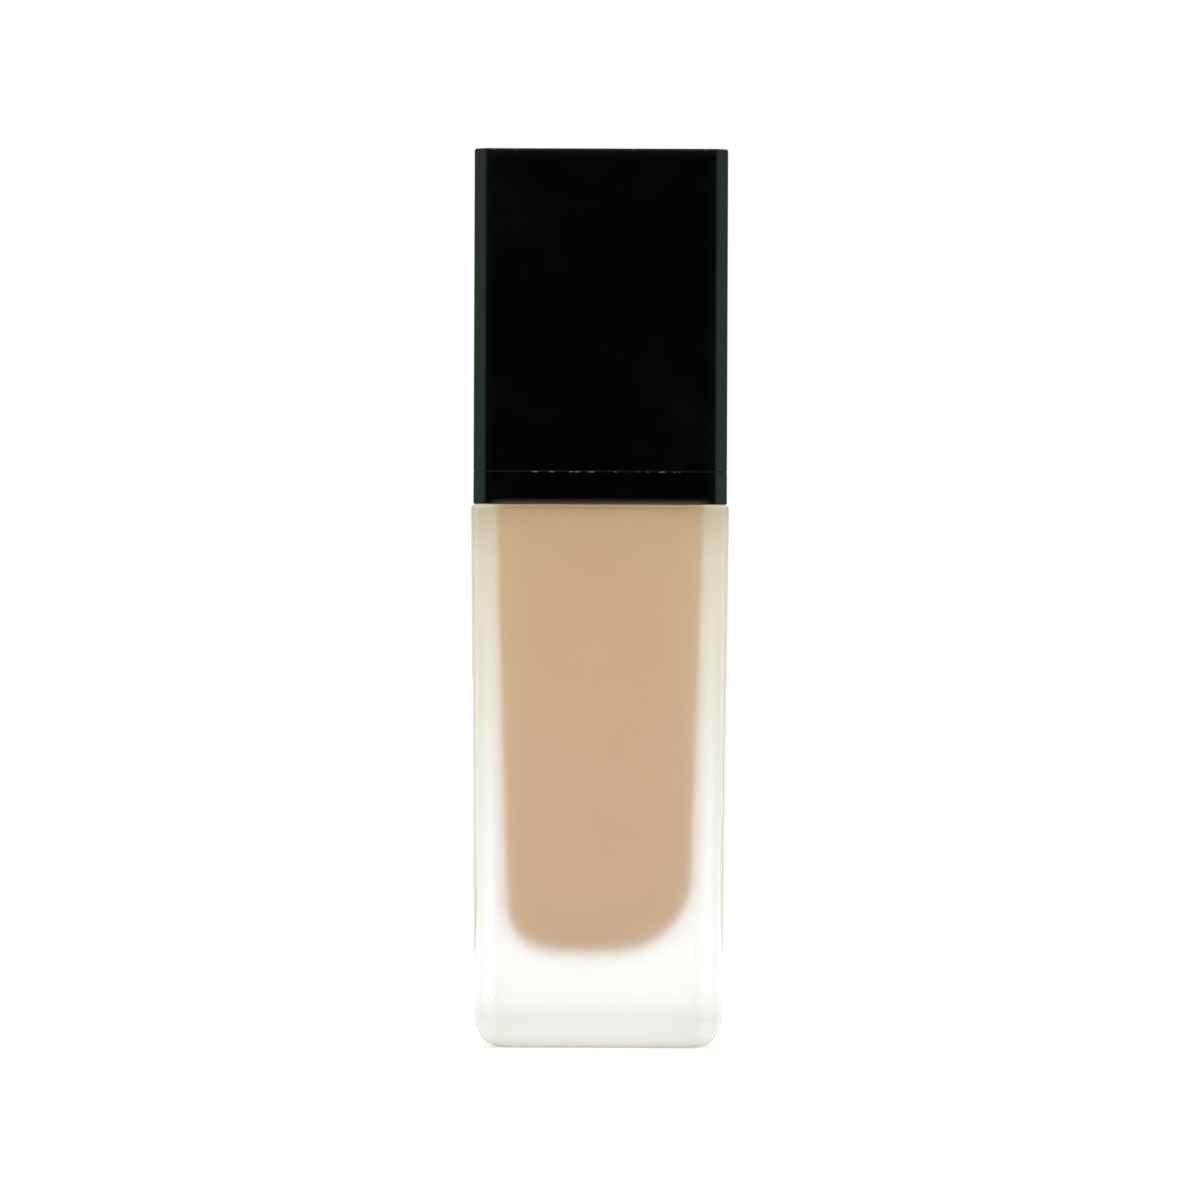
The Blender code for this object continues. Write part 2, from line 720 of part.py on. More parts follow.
def make_shroud():
    """Sleeve round the closure, with the bead that the overcap snaps over."""
    bead = shroud_radius + SNAP_BEAD
    profile = [
        (lip_bore + LEAD_IN, shroud_top),
        *arc(shroud_radius - SOFT_EDGE, shroud_top - SOFT_EDGE, SOFT_EDGE, 90, 0, 3),
        (shroud_radius, bead_height + BEAD_HALF),
        (bead, bead_height + BEAD_HALF * 0.3),
        (bead, bead_height - BEAD_HALF * 0.3),
        (shroud_radius, bead_height - BEAD_HALF),
        (shroud_radius, shroud_bottom),
        (shroud_bore, shroud_bottom),
        (shroud_bore, shroud_top - SHROUD_LIP_DEPTH),
        (lip_bore, shroud_top - SHROUD_LIP_DEPTH),
        (lip_bore, shroud_top - LEAD_IN),
    ]
    return keep("pump_shroud", turned(profile, WIDE), closure, shroud_bottom)


def make_collar():
    """Low square skirt with a stepped hole for the shroud and a raised step that locates the overcap."""
    width = collar_half * 2
    block = box_mesh(width, width, collar_bottom, collar_top, EDGE_CHAMFER, FINE_BREAK)
    piece = keep("square_collar", block, closure, collar_bottom)
    well = shroud_radius + SEAT
    floor = collar_bottom + COLLAR_FLOOR
    step = box_mesh(step_half * 2, step_half * 2, floor, step_top, EDGE_CHAMFER)
    join(piece, make_tool("locating_step", step))
    over = step_top + EDGE_CHAMFER
    under = collar_bottom - EDGE_CHAMFER
    hole = closure_radius + LOOSE
    profile = [(0.0, over), (well, over), (well, floor), (hole, floor), (hole, under), (0.0, under)]
    cut(piece, make_tool("collar_well", turned(profile, WIDE)))
    return piece


def make_button():
    """Round push button, open below, with the hole that the spout comes through."""
    dish = [(button_radius * x, button_top - FINGER_DISH * (1 - x**2)) for x in (0.0, 0.3, 0.6)]
    profile = [
        *dish,
        *arc(button_radius - BUTTON_ROUND, button_top - BUTTON_ROUND, BUTTON_ROUND, 90, 0, 4),
        (button_radius, button_bottom),
        (skirt_inner, button_bottom),
        (skirt_inner, button_ceiling),
        (0.0, button_ceiling),
    ]
    piece = keep("actuator_button", turned(profile, WIDE), actuator, button_bottom)
    hole = SPOUT_RADIUS + SEAT
    start = skirt_inner - BUTTON_WALL
    end = button_radius + BUTTON_WALL
    drill = [(0.0, end), (hole, end), (hole, start), (0.0, start)]
    cut(piece, make_tool("spout_hole", lay_forward(turned(drill, NARROW), spout_height)))
    return piece


def make_core():
    """Inner body of the button: stem socket, spout boss and four ribs that grip the skirt."""
    post = [(0.0, core_top), (core_radius, core_top), (core_radius, core_bottom), (0.0, core_bottom)]
    piece = keep("actuator_core", turned(post, NARROW), actuator, core_bottom)
    boss = [(0.0, boss_reach), (boss_radius, boss_reach), (boss_radius, 0.0), (0.0, 0.0)]
    join(piece, make_tool("spout_boss", lay_forward(turned(boss, NARROW), spout_height)))
    reach = (skirt_inner - SLIDE) * math.cos(math.pi / WIDE)
    for turn in (45, 135):
        rib = box_mesh(reach * 2, RIB_THICKNESS, core_top - SEAT - RIB_LENGTH, core_top - SEAT)
        tool = make_tool(f"grip_rib_{turn}", rib)
        tool.rotation_euler.z = math.radians(turn)
        join(piece, tool)
    mouth = boss_reach + BOSS_WALL
    bore = [(0.0, mouth), (boss_bore, mouth), (boss_bore, -STEM_BORE), (0.0, -STEM_BORE)]
    cut(piece, make_tool("boss_bore", lay_forward(turned(bore, NARROW), spout_height)))
    socket_top = stem_top + SEAT
    socket = [
        (0.0, spout_height),
        (STEM_BORE, spout_height),
        (STEM_BORE, socket_top),
        (core_bore, socket_top),
        (core_bore, core_bottom + LEAD_IN),
        (core_bore + 2 * LEAD_IN, core_bottom - LEAD_IN),
        (0.0, core_bottom - LEAD_IN),
    ]
    cut(piece, make_tool("stem_socket", turned(socket, NARROW)))
    return piece


def make_spout():
    """Outlet tube: a spigot in the core's boss and a wider nose outside the button."""
    shoulder = boss_reach + SEAT
    spigot_end = shoulder - SPIGOT_LENGTH
    profile = [
        (SPOUT_BORE + LEAD_IN, SPOUT_REACH),
        *arc(SPOUT_RADIUS - SPOUT_ROUND, SPOUT_REACH - SPOUT_ROUND, SPOUT_ROUND, 90, 0, 3),
        (SPOUT_RADIUS, shoulder),
        (SPIGOT_RADIUS, shoulder),
        (SPIGOT_RADIUS, spigot_end),
        (SPOUT_BORE, spigot_end),
        (SPOUT_BORE, SPOUT_REACH - 2 * LEAD_IN),
    ]
    mesh = lay_forward(turned(profile, NARROW), spout_height)
    return keep("nozzle_spout", mesh, actuator, spout_height)


def make_overcap():
    """Tall square cover: an open box with chamfered corners, one even wall and a fine top break."""
    width = collar_half * 2
    mesh = box_mesh(width, width, cap_bottom, cap_top, EDGE_CHAMFER, open_bottom=True)
    weight = mesh.attributes.new("bevel_weight_edge", "FLOAT", "EDGE")
    for edge in mesh.edges:
        heights = [mesh.vertices[i].co.z for i in edge.vertices]
        weight.data[edge.index].value = 1.0 if min(heights) > cap_bottom + CAP_WALL else 0.0
    piece = keep("overcap_shell", mesh, overcap, cap_bottom)
    wall = piece.modifiers.new("wall", "SOLIDIFY")
    wall.thickness = CAP_WALL
    wall.offset = -1.0
    wall.use_even_offset = True
    fine = piece.modifiers.new("top break", "BEVEL")
    fine.limit_method = "WEIGHT"
    fine.width = EDGE_BREAK
    fine.segments = 2
    return piece


def make_liner():
    """Inner sleeve of the overcap: square flange at the mouth, tube and ribs out to the shell."""
    shell_half = collar_half - CAP_WALL - SEAT
    width = shell_half * 2
    top = liner_bottom + LINER_HEIGHT
    flange = box_mesh(width, width, liner_bottom, liner_bottom + LINER_FLANGE, EDGE_CHAMFER)
    piece = keep("overcap_liner", flange, overcap, liner_bottom)
    middle = liner_bottom + LINER_FLANGE / 2
    tube = [(0.0, top), (liner_radius, top), (liner_radius, middle), (0.0, middle)]
    join(piece, make_tool("liner_tube", turned(tube, WIDE)))
    pairs = round(LINER_RIBS / 2)
    for i in range(pairs):
        turn = math.pi * i / pairs
        to_wall = shell_half / max(abs(math.cos(turn)), abs(math.sin(turn)))
        length = min(to_wall, liner_radius + CORNER_RIB)
        rib = box_mesh(length * 2, RIB_THICKNESS, middle, top - LINER_WALL)
        tool = make_tool(f"liner_rib_{i}", rib)
        tool.rotation_euler.z = turn
        join(piece, tool)
    over = top + LINER_WALL
    under = liner_bottom - LINER_WALL
    bore = [(0.0, over), (liner_bore, over), (liner_bore, under), (0.0, under)]
    cut(piece, make_tool("liner_bore", turned(bore, WIDE)))
    return piece


clear_scene()
parts = make_collection("foundation_bottle")
tools = make_collection("cutters")

bottle = make_frame("bottle_frame", 0.0)
gasket = make_frame("gasket_frame", gasket_bottom, bottle)
pump = make_frame("pump_frame", flange_bottom, gasket)
ball = make_frame("ball_frame", ball_height, pump)
stem = make_frame("stem_frame", stop_top, pump)
piston = make_frame("piston_frame", piston_bottom, stem)
actuator = make_frame("actuator_frame", button_bottom, stem)
closure = make_frame("closure_frame", deck_bottom, pump)
overcap = make_frame("overcap_frame", cap_bottom, closure)

make_glass()
make_fill()
make_gasket()
make_housing()
make_dip_tube()
make_ball()
make_cage()
make_spring()
make_piston_rod()
make_piston()
make_stem()
make_chaplet()
make_closure()
make_shroud()
make_collar()
make_button()
make_core()
make_spout()
make_overcap()
make_liner()
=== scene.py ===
import json
import math

import bmesh
import bpy
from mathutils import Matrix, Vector

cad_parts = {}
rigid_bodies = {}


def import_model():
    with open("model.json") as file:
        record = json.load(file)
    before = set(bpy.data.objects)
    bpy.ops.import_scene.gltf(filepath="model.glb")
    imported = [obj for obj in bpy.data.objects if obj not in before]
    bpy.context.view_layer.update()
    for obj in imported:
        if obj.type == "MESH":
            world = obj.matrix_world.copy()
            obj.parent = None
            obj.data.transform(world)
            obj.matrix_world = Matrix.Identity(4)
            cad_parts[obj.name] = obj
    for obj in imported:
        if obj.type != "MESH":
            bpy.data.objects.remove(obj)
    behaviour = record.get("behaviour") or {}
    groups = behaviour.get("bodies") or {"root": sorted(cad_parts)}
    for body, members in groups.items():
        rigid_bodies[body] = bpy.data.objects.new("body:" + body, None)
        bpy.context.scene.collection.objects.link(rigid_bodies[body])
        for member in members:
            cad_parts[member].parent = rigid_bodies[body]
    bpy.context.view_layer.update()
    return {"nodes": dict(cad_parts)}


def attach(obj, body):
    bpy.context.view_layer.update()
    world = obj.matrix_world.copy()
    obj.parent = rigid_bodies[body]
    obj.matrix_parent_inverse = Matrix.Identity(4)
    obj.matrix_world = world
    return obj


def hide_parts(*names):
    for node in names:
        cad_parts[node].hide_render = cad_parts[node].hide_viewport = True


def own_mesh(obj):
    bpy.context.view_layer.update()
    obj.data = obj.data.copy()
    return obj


# Foundation bottle: frosted glass, treatment pump, square collar and square overcap.
# Sizes in the dictionaries are in millimetres, and heights run from the base.

mm = 0.001
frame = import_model()
scene = bpy.context.scene
print("frame loaded:", len(frame["nodes"]), "nodes")


def wire(tree, source, target):
    # the source is another node's socket, or a plain value
    if isinstance(source, (int, float, tuple)):
        target.default_value = source
    else:
        tree.links.new(source, target)


def addNode(tree, kind, **sources):
    # a node with its named inputs wired or set
    node = tree.nodes.new(kind)
    for name, source in sources.items():
        wire(tree, source, node.inputs[name.replace("_", " ")])
    return node


def calc(tree, operation, *values, clamp=False):
    node = tree.nodes.new("ShaderNodeMath")
    node.operation = operation
    node.use_clamp = clamp
    for value, socket in zip(values, node.inputs):
        wire(tree, value, socket)
    return node.outputs[0]


def times(tree, first, second):
    return calc(tree, "MULTIPLY", first, second)


def minus(tree, first, second):
    return calc(tree, "SUBTRACT", first, second)


def remap(tree, value, low, high, newLow=0.0, newHigh=1.0, kind="LINEAR"):
    node = addNode(
        tree, "ShaderNodeMapRange", Value=value, From_Min=low, From_Max=high, To_Min=newLow, To_Max=newHigh,
    )
    node.interpolation_type = kind
    return node.outputs["Result"]


def blendColors(tree, factor, first, second, mode="MIX"):
    node = tree.nodes.new("ShaderNodeMix")
    node.data_type = "RGBA"
    node.blend_type = mode
    for index, value in ((0, factor), (6, first), (7, second)):  # 6 and 7 are the colour sockets
        wire(tree, (*value, 1.0) if isinstance(value, tuple) else value, node.inputs[index])
    return node.outputs[2]


def vector(tree, x=0.0, y=0.0, z=0.0):
    return addNode(tree, "ShaderNodeCombineXYZ", X=x, Y=y, Z=z).outputs[0]


class Finish:
    # a material with one Principled shader and the helpers that its detail is wired with
    def __init__(self, name, color, **sockets):
        self.material = bpy.data.materials.new(name)
        self.material.use_nodes = True
        self.tree = self.material.node_tree
        self.shader = self.tree.nodes["Principled BSDF"]
        self.place = addNode(self.tree, "ShaderNodeTexCoord").outputs["Object"]
        self.set("Base Color", (*color, 1.0))
        for socket, value in sockets.items():
            self.set(socket.replace("_", " "), value)

    def set(self, socket, value):
        wire(self.tree, value, self.shader.inputs[socket])

    def stretched(self, scale):
        return addNode(self.tree, "ShaderNodeMapping", Vector=self.place, Scale=scale).outputs["Vector"]

    def noise(self, size, detail=3.0, rough=0.5, at=None):
        # size is that of one patch, in millimetres
        node = addNode(
            self.tree, "ShaderNodeTexNoise",
            Vector=at or self.place, Scale=1.0 / (size * mm), Detail=detail, Roughness=rough,
        )
        return node.outputs["Fac"]

    def cells(self, size):
        node = addNode(self.tree, "ShaderNodeTexVoronoi", Vector=self.place, Scale=1.0 / (size * mm))
        return node.outputs["Distance"]

    def axis(self, name):
        return addNode(self.tree, "ShaderNodeSeparateXYZ", Vector=self.place).outputs[name]

    def rise(self, band, low=0.0, high=1.0, kind="LINEAR"):
        # goes from low to high between the two heights of a band
        start, end = band
        return remap(self.tree, self.axis("Z"), start * mm, end * mm, low, high, kind)

    def outward(self, choice):
        # the smaller or the larger of the distances from the two upright middle planes
        sides = [calc(self.tree, "ABSOLUTE", self.axis(name)) for name in ("X", "Y")]
        return calc(self.tree, choice, *sides)

    def nearCorner(self, low, high):
        # 0 on the middle of the four upright faces and 1 at their upright corners
        return remap(self.tree, self.outward("MINIMUM"), low * mm, high * mm, kind="SMOOTHSTEP")

    def nearEdge(self, reach, fade=0.1, cornerFade=(13.8, 14.3)):
        # 1 where a flat top meets the upright faces, away from their corners
        outer = remap(self.tree, self.outward("MAXIMUM"), (reach - fade) * mm, reach * mm)
        return times(self.tree, outer, minus(self.tree, 1.0, self.nearCorner(*cornerFade)))

    def bump(self, height, depth, strength):
        node = addNode(self.tree, "ShaderNodeBump", Height=height, Distance=depth * mm, Strength=strength)
        self.set("Normal", node.outputs["Normal"])


noiseSpan = (0.3, 0.7)  # nearly all of a noise lies in here
midSpan = (0.35, 0.65)  # for patches with more contrast


def frostedGlass(look):
    finish = Finish("frostedGlass", look["color"], Transmission_Weight=1.0, IOR=look["ior"])
    finish.set("Sheen Weight", look["haze"])
    finish.set("Sheen Roughness", look["hazeRoughness"])
    finish.set("Sheen Tint", (*look["hazeColor"], 1.0))
    tree = finish.tree
    corner = finish.nearCorner(*look["cornerBand"])
    etch = finish.noise(look["etchSize"], detail=4.0, rough=0.6)
    rough = remap(tree, etch, *noiseSpan, *look["roughSpan"])
    clearer = times(tree, corner, finish.rise(look["clearBand"], *look["cornerClear"]))
    finish.set("Roughness", times(tree, rough, minus(tree, 1.0, clearer)))
    # painted shadow: a dark band along the glass's top edge, under the collar, away from the corners
    rim = times(tree, finish.rise(look["rimShadowBand"], kind="SMOOTHSTEP"), minus(tree, 1.0, corner))
    layers = (
        ("cloudColor", remap(tree, finish.noise(look["cloudSize"], 2.0), *midSpan, 0.0, look["cloud"])),
        ("cornerColor", corner),
        ("shadeColor", times(tree, corner, finish.rise(look["shadeBand"]))),
        ("rimShadowColor", times(tree, rim, finish.nearEdge(look["rimShadowEdge"]))),
        # painted shade: the glass is painted warmer and darker towards its foot
        ("footShadeColor", finish.rise(look["footShadeBand"])),
    )
    # painted shade: the glass is painted darker and creamier towards the top, under the collar and beside
    # the fill
    topShade = finish.rise(look["topShadeBand"], kind="SMOOTHSTEP")
    color = blendColors(tree, topShade, look["color"], look["topShadeColor"])
    for name, mask in layers:
        color = blendColors(tree, mask, color, look[name], "MULTIPLY")
    finish.set("Base Color", color)
    milky = finish.rise(look["etchBand"], *look["cornerEtch"])
    milky = times(tree, finish.nearCorner(*look["etchedCorner"]), milky)
    milkyFoot = finish.rise(look["footEtchBand"], 0.0, look["footEtch"], "SMOOTHSTEP")
    finish.set("Transmission Weight", minus(tree, 1.0, calc(tree, "MAXIMUM", milky, milkyFoot)))
    finish.bump(finish.noise(look["grainSize"], 2.0), look["grainDepth"], look["grainStrength"])
    return finish.material


def makeUp(look):
    finish = Finish("makeUpFill", look["color"])
    tree = finish.tree
    swirl = finish.noise(look["swirlSize"], 4.0, 0.55, finish.stretched(look["swirlStretch"]))
    shade = remap(tree, swirl, *noiseSpan, 0.0, look["swirl"])
    # painted light: the fill is painted lighter towards the top, against the shade that falls there
    tone = blendColors(tree, finish.rise(look["settled"]), look["lowColor"], look["color"])
    finish.set("Base Color", blendColors(tree, shade, tone, look["deepColor"], "MULTIPLY"))
    finish.set("Roughness", remap(tree, finish.noise(look["wetSize"]), *noiseSpan, *look["roughSpan"]))
    finish.bump(swirl, look["swirlDepth"], strength=0.4)
    return finish.material


def glossBlack(look, name="glossBlack"):
    finish = Finish(name, look["color"], Specular_IOR_Level=look["shine"])
    finish.set("Specular Tint", (*look["tint"], 1.0))
    tree = finish.tree
    patch = finish.noise(look["patchSize"], 3.0, 0.55)
    rub = finish.noise(look["rubSize"], 3.0, 0.7, finish.stretched(look["rubStretch"]))
    base = remap(tree, patch, *look["patchSpan"], *look["roughSpan"])
    fine = remap(tree, rub, *look["rubSpan"], 0.0, look["rub"])
    finish.set("Roughness", calc(tree, "ADD", base, fine, clamp=True))
    # specks along an edge band: partly wear, partly painted glints of light on the edge
    speckNoise = finish.noise(look["speckSize"], 1.0, 0.5, finish.stretched(look["speckStretch"]))
    noiseMask = remap(tree, speckNoise, look["speckFrom"], look["speckFrom"] + look["speckFade"])
    (low, high), fade = look["wearAndGlintBand"], look["wearAndGlintFade"]
    band = times(tree, finish.rise((low - fade, low)), finish.rise((high, high + fade), 1.0, 0.0))
    if "wearAndGlintEdge" in look:
        band = times(tree, band, finish.nearEdge(look["wearAndGlintEdge"]))
    wearAndGlint = times(tree, noiseMask, band)
    tone = blendColors(tree, remap(tree, patch, *look["toneSpan"]), look["color"], look["patchColor"])
    # painted reflection: the chamfers are painted a teal glint, spreading weaker onto the faces beside them
    if "edgeGlintColor" in look:
        spread = times(tree, finish.nearCorner(*look["glintSpread"]), look["glintShare"])
        edge = calc(tree, "MAXIMUM", finish.nearCorner(*look["edgeGlintBand"]), spread)
        tone = blendColors(tree, edge, tone, look["edgeGlintColor"])
    # painted reflection: a lighter grey towards the overcap's top edge, and a warm glow of the lit glass
    # along the collar's lower edge, away from its corners
    if "reflectedLightColor" in look:
        reflectedLight = calc(tree, "POWER", finish.rise(look["reflectedLightBand"]), look["reflectedLightPower"])
        if "reflectedLightCorner" in look:
            reflectedLight = times(tree, reflectedLight, minus(tree, 1.0, finish.nearCorner(*look["reflectedLightCorner"])))
            reflectedLight = times(tree, reflectedLight, finish.nearEdge(look["reflectedLightEdge"]))
        tone = blendColors(tree, reflectedLight, tone, look["reflectedLightColor"])
    finish.set("Base Color", blendColors(tree, wearAndGlint, tone, look["wearAndGlintColor"]))
    finish.bump(finish.noise(look["waveSize"], 1.0), look["waveDepth"], strength=0.35)
    return finish.material


def mouldedPlastic(name, look):
    # satin moulded plastic with flow marks and a fine spark-eroded grain
    finish = Finish(name, look["color"], Specular_IOR_Level=look["shine"])
    finish.set("Transmission Weight", look["clear"])
    finish.set("Subsurface Weight", look["depth"])
    finish.set("Subsurface Radius", tuple(reach * mm for reach in look["scatter"]))
    tree = finish.tree
    flow = finish.noise(look["flowSize"], 3.0, 0.5, finish.stretched(look["flowStretch"]))
    shade = remap(tree, flow, *noiseSpan)
    finish.set("Base Color", blendColors(tree, shade, look["color"], look["flowColor"]))
    grain = finish.noise(look["grainSize"], 2.0)
    low, high = look["roughness"] - look["smoother"], look["roughness"] + look["rougher"]
    finish.set("Roughness", remap(tree, grain, *noiseSpan, low, high))
    finish.bump(grain, look["grainDepth"], strength=0.5)
    return finish.material


def steel(name, look):
    finish = Finish(name, look["color"], Metallic=1.0)
    tree = finish.tree
    draw = finish.noise(look["drawSize"], 3.0, 0.6, finish.stretched(look["drawStretch"]))
    finish.set("Roughness", remap(tree, draw, *noiseSpan, *look["roughSpan"]))
    dull = remap(tree, draw, *midSpan)
    finish.set("Base Color", blendColors(tree, dull, look["color"], look["dullColor"]))
    finish.bump(draw, look["drawDepth"], strength=0.4)
    return finish.material


def foam(look):
    finish = Finish("foamWasher", look["color"])
    tree = finish.tree
    cell = finish.cells(look["cellSize"])
    shade = remap(tree, cell, *look["cellSpan"])
    finish.set("Base Color", blendColors(tree, shade, look["color"], look["wallColor"]))
    finish.set("Roughness", remap(tree, cell, *look["cellSpan"], *look["roughSpan"]))
    finish.bump(cell, look["cellDepth"], strength=0.8)
    return finish.material


gloss = dict(
    tint=(0.9, 1.0, 1.0), patchSpan=(0.35, 0.7), toneSpan=(0.52, 0.72),
    rubSize=0.5, rubStretch=(1.0, 1.0, 0.18), rubSpan=(0.55, 0.8),
    speckStretch=(1.0, 1.0, 0.0), speckFade=0.06, wearAndGlintFade=0.05,
)
chamferedGloss = dict(
    gloss, wearAndGlintEdge=15.5, edgeGlintBand=(14.25, 14.55), glintSpread=(12.2, 14.9), glintShare=0.33,
    edgeGlintColor=(0.003, 0.0095, 0.0095), waveDepth=0.02,
)
plastic = dict(
    shine=0.45, depth=0.0, scatter=(1.0, 1.0, 0.9), clear=0.0, smoother=0.07, rougher=0.09,
    flowSize=4.0, flowStretch=(1.0, 1.0, 0.35), grainSize=0.12, grainDepth=0.006,
)
finishes = {
    "frosted": frostedGlass(dict(
        color=(0.99, 1.0, 1.0), topShadeColor=(0.93, 0.93, 0.8), topShadeBand=(20.0, 68.0), ior=1.5,
        haze=0.7, hazeRoughness=0.6, hazeColor=(0.93, 1.0, 0.88), etchSize=1.1, roughSpan=(0.46, 0.55),
        cloudSize=9.0, cloud=0.5, cloudColor=(0.97, 0.975, 0.972),
        cornerBand=(12.2, 13.6), cornerColor=(0.965, 1.0, 0.985),
        clearBand=(15.0, 60.0), cornerClear=(0.4, 0.02),
        etchedCorner=(14.9, 15.4), etchBand=(20.0, 60.0), cornerEtch=(0.75, 0.35),
        shadeBand=(60.5, 66.5), shadeColor=(0.82, 0.77, 0.68),
        rimShadowBand=(66.75, 67.5), rimShadowEdge=15.75, rimShadowColor=(0.52, 0.49, 0.46),
        footShadeBand=(5.0, 0.5), footShadeColor=(1.0, 0.985, 0.915), footEtchBand=(7.5, 3.5), footEtch=0.17,
        grainSize=0.16, grainDepth=0.012, grainStrength=0.35,
    )),
    "fill": makeUp(dict(
        color=(0.948, 0.634, 0.418), lowColor=(0.848, 0.542, 0.327), settled=(22.0, 66.0),
        deepColor=(0.98, 0.97, 0.96), swirl=1.0, swirlSize=14.0, swirlStretch=(1.0, 1.0, 0.45),
        swirlDepth=0.05, wetSize=2.0, roughSpan=(0.34, 0.46),
    )),
    "cap": glossBlack(dict(
        chamferedGloss, color=(0.0006, 0.0007, 0.0008), patchColor=(0.0022, 0.0023, 0.0025),
        wearAndGlintColor=(0.05, 0.055, 0.06), roughSpan=(0.06, 0.12), rub=0.05, shine=0.19, patchSize=11.0,
        speckSize=1.6, speckFrom=0.6, wearAndGlintBand=(111.5, 111.8), waveSize=9.0,
        reflectedLightBand=(109.6, 111.7), reflectedLightPower=2.0, reflectedLightColor=(0.0065, 0.0063, 0.006),
    )),
    "collar": glossBlack(dict(
        chamferedGloss, color=(0.0006, 0.0009, 0.0012), patchColor=(0.0018, 0.002, 0.0024),
        wearAndGlintColor=(0.1, 0.105, 0.11), roughSpan=(0.07, 0.13), rub=0.06, shine=0.2, patchSize=7.0,
        speckSize=1.1, speckFrom=0.565, wearAndGlintBand=(71.52, 71.7), waveSize=6.0,
        reflectedLightBand=(68.6, 67.5), reflectedLightPower=3.0, reflectedLightColor=(0.13, 0.088, 0.064), reflectedLightCorner=(11.8, 14.2),
        reflectedLightEdge=15.6,
    ), "collarBlack"),
    "satin": mouldedPlastic("satinBlack", dict(
        plastic, color=(0.011, 0.011, 0.012), flowColor=(0.016, 0.016, 0.017), roughness=0.4,
    )),
    "shroud": glossBlack(dict(
        gloss, color=(0.002, 0.002, 0.0024), patchColor=(0.003, 0.003, 0.0034),
        wearAndGlintColor=(0.02, 0.02, 0.021), roughSpan=(0.1, 0.2), rub=0.16, shine=0.45, patchSize=6.0,
        speckSize=0.3, speckFrom=0.68, wearAndGlintBand=(80.6, 81.9), waveSize=5.0, waveDepth=0.015,
    ), "shroudBlack"),
    "natural": mouldedPlastic("naturalPlastic", dict(
        plastic, color=(0.8, 0.81, 0.78), flowColor=(0.73, 0.745, 0.715), roughness=0.4, depth=0.25,
        grainDepth=0.004,
    )),
    "tube": mouldedPlastic("clearTube", dict(
        plastic, color=(0.91, 0.93, 0.91), flowColor=(0.86, 0.885, 0.865), roughness=0.36, clear=0.3,
        flowSize=2.5, grainSize=0.7, grainDepth=0.0015,
    )),
    "seal": mouldedPlastic("pistonPlastic", dict(
        plastic, color=(0.62, 0.66, 0.7), flowColor=(0.55, 0.6, 0.65), roughness=0.5, depth=0.2,
    )),
    "ballSteel": steel("polishedSteel", dict(
        color=(0.6, 0.6, 0.61), dullColor=(0.5, 0.5, 0.51), roughSpan=(0.072, 0.18),
        drawSize=0.5, drawStretch=(1.0, 1.0, 1.0), drawDepth=0.001,
    )),
    "spring": steel("springSteel", dict(
        color=(0.56, 0.57, 0.58), dullColor=(0.42, 0.42, 0.43), roughSpan=(0.156, 0.39),
        drawSize=0.08, drawStretch=(1.0, 1.0, 3.0), drawDepth=0.004,
    )),
    "foam": foam(dict(
        color=(0.8, 0.8, 0.77), wallColor=(0.7, 0.7, 0.67), cellSize=0.16, cellSpan=(0.0, 0.6),
        cellDepth=0.03, roughSpan=(0.7, 0.9),
    )),
}
print("finishes ready:", len(finishes))


def newObject(name, data):
    obj = bpy.data.objects.new(name, data)
    scene.collection.objects.link(obj)
    return obj


def shadeRounds(mesh, sharp=32):
    # smooth, with crisp edges where faces meet at more than this many degrees
    mesh.shade_smooth()
    mesh.set_sharp_from_angle(angle=math.radians(sharp))


def closedMesh(name, shape):
    # merges seams and poles and turns the faces outwards
    bmesh.ops.remove_doubles(shape, verts=shape.verts, dist=2e-7)
    bmesh.ops.recalc_face_normals(shape, faces=shape.faces)
    mesh = bpy.data.meshes.new(name)
    shape.to_mesh(mesh)
    shape.free()
    shadeRounds(mesh)
    return newObject(name, mesh)


def lofted(name, rings, closed=False):
    # skin over rings of equally many points; a closed loft joins its last ring to its first
    shape = bmesh.new()
    rows = [[shape.verts.new([c * mm for c in point]) for point in ring] for ring in rings]
    pairs = list(zip(rows, rows[1:])) + ([(rows[-1], rows[0])] if closed else [])
    for upper, lower in pairs:
        for i in range(len(upper)):
            after = (i + 1) % len(upper)
            shape.faces.new((upper[i], lower[i], lower[after], upper[after]))
    return closedMesh(name, shape)


def rounded(corners, closed=True, steps=4, most=0.48):
    # profile with its corners rounded, each given as (radius, height, round); a round takes up at
    # most a set share of the sides beside it
    points = []
    count = len(corners)
    for i, corner in enumerate(corners):
        place = Vector(corner[:2])
        radius = corner[2] if len(corner) > 2 else 0.0
        if not radius or (not closed and i in (0, count - 1)):
            points.append(tuple(place))
            continue
        back = Vector(corners[i - 1][:2]) - place
        ahead = Vector(corners[(i + 1) % count][:2]) - place
        half = back.angle(ahead) / 2
        reach = min(radius / math.tan(half), back.length * most, ahead.length * most)
        radius = reach * math.tan(half)
        back.normalize()
        ahead.normalize()
        middle = place + (back + ahead).normalized() * (radius / math.sin(half))
        start, end = place + back * reach, place + ahead * reach
        first = math.atan2(*(start - middle).yx)
        turn = math.atan2(*(end - middle).yx) - first
        turn = (turn + math.pi) % math.tau - math.pi
        lead = min(0.05, reach * 0.2)  # a narrow row beside the round keeps its shading off the flat
        points.append(tuple(start + back * lead))
        for k in range(steps + 1):
            angle = first + turn * k / steps
            points.append((middle.x + radius * math.cos(angle), middle.y + radius * math.sin(angle)))
        points.append(tuple(end + ahead * lead))
    return points


def turnedPiece(name, corners, facets):
    # piece of revolution; a profile that touches the axis is left open there
    onAxis = min(corner[0] for corner in corners) <= 0
    turns = [(math.cos(math.tau * k / facets), math.sin(math.tau * k / facets)) for k in range(facets)]
    points = rounded(corners, not onAxis)
    rings = [[(radius * cosine, radius * sine, z) for cosine, sine in turns] for radius, z in points]
    return lofted(name, rings, closed=not onAxis)


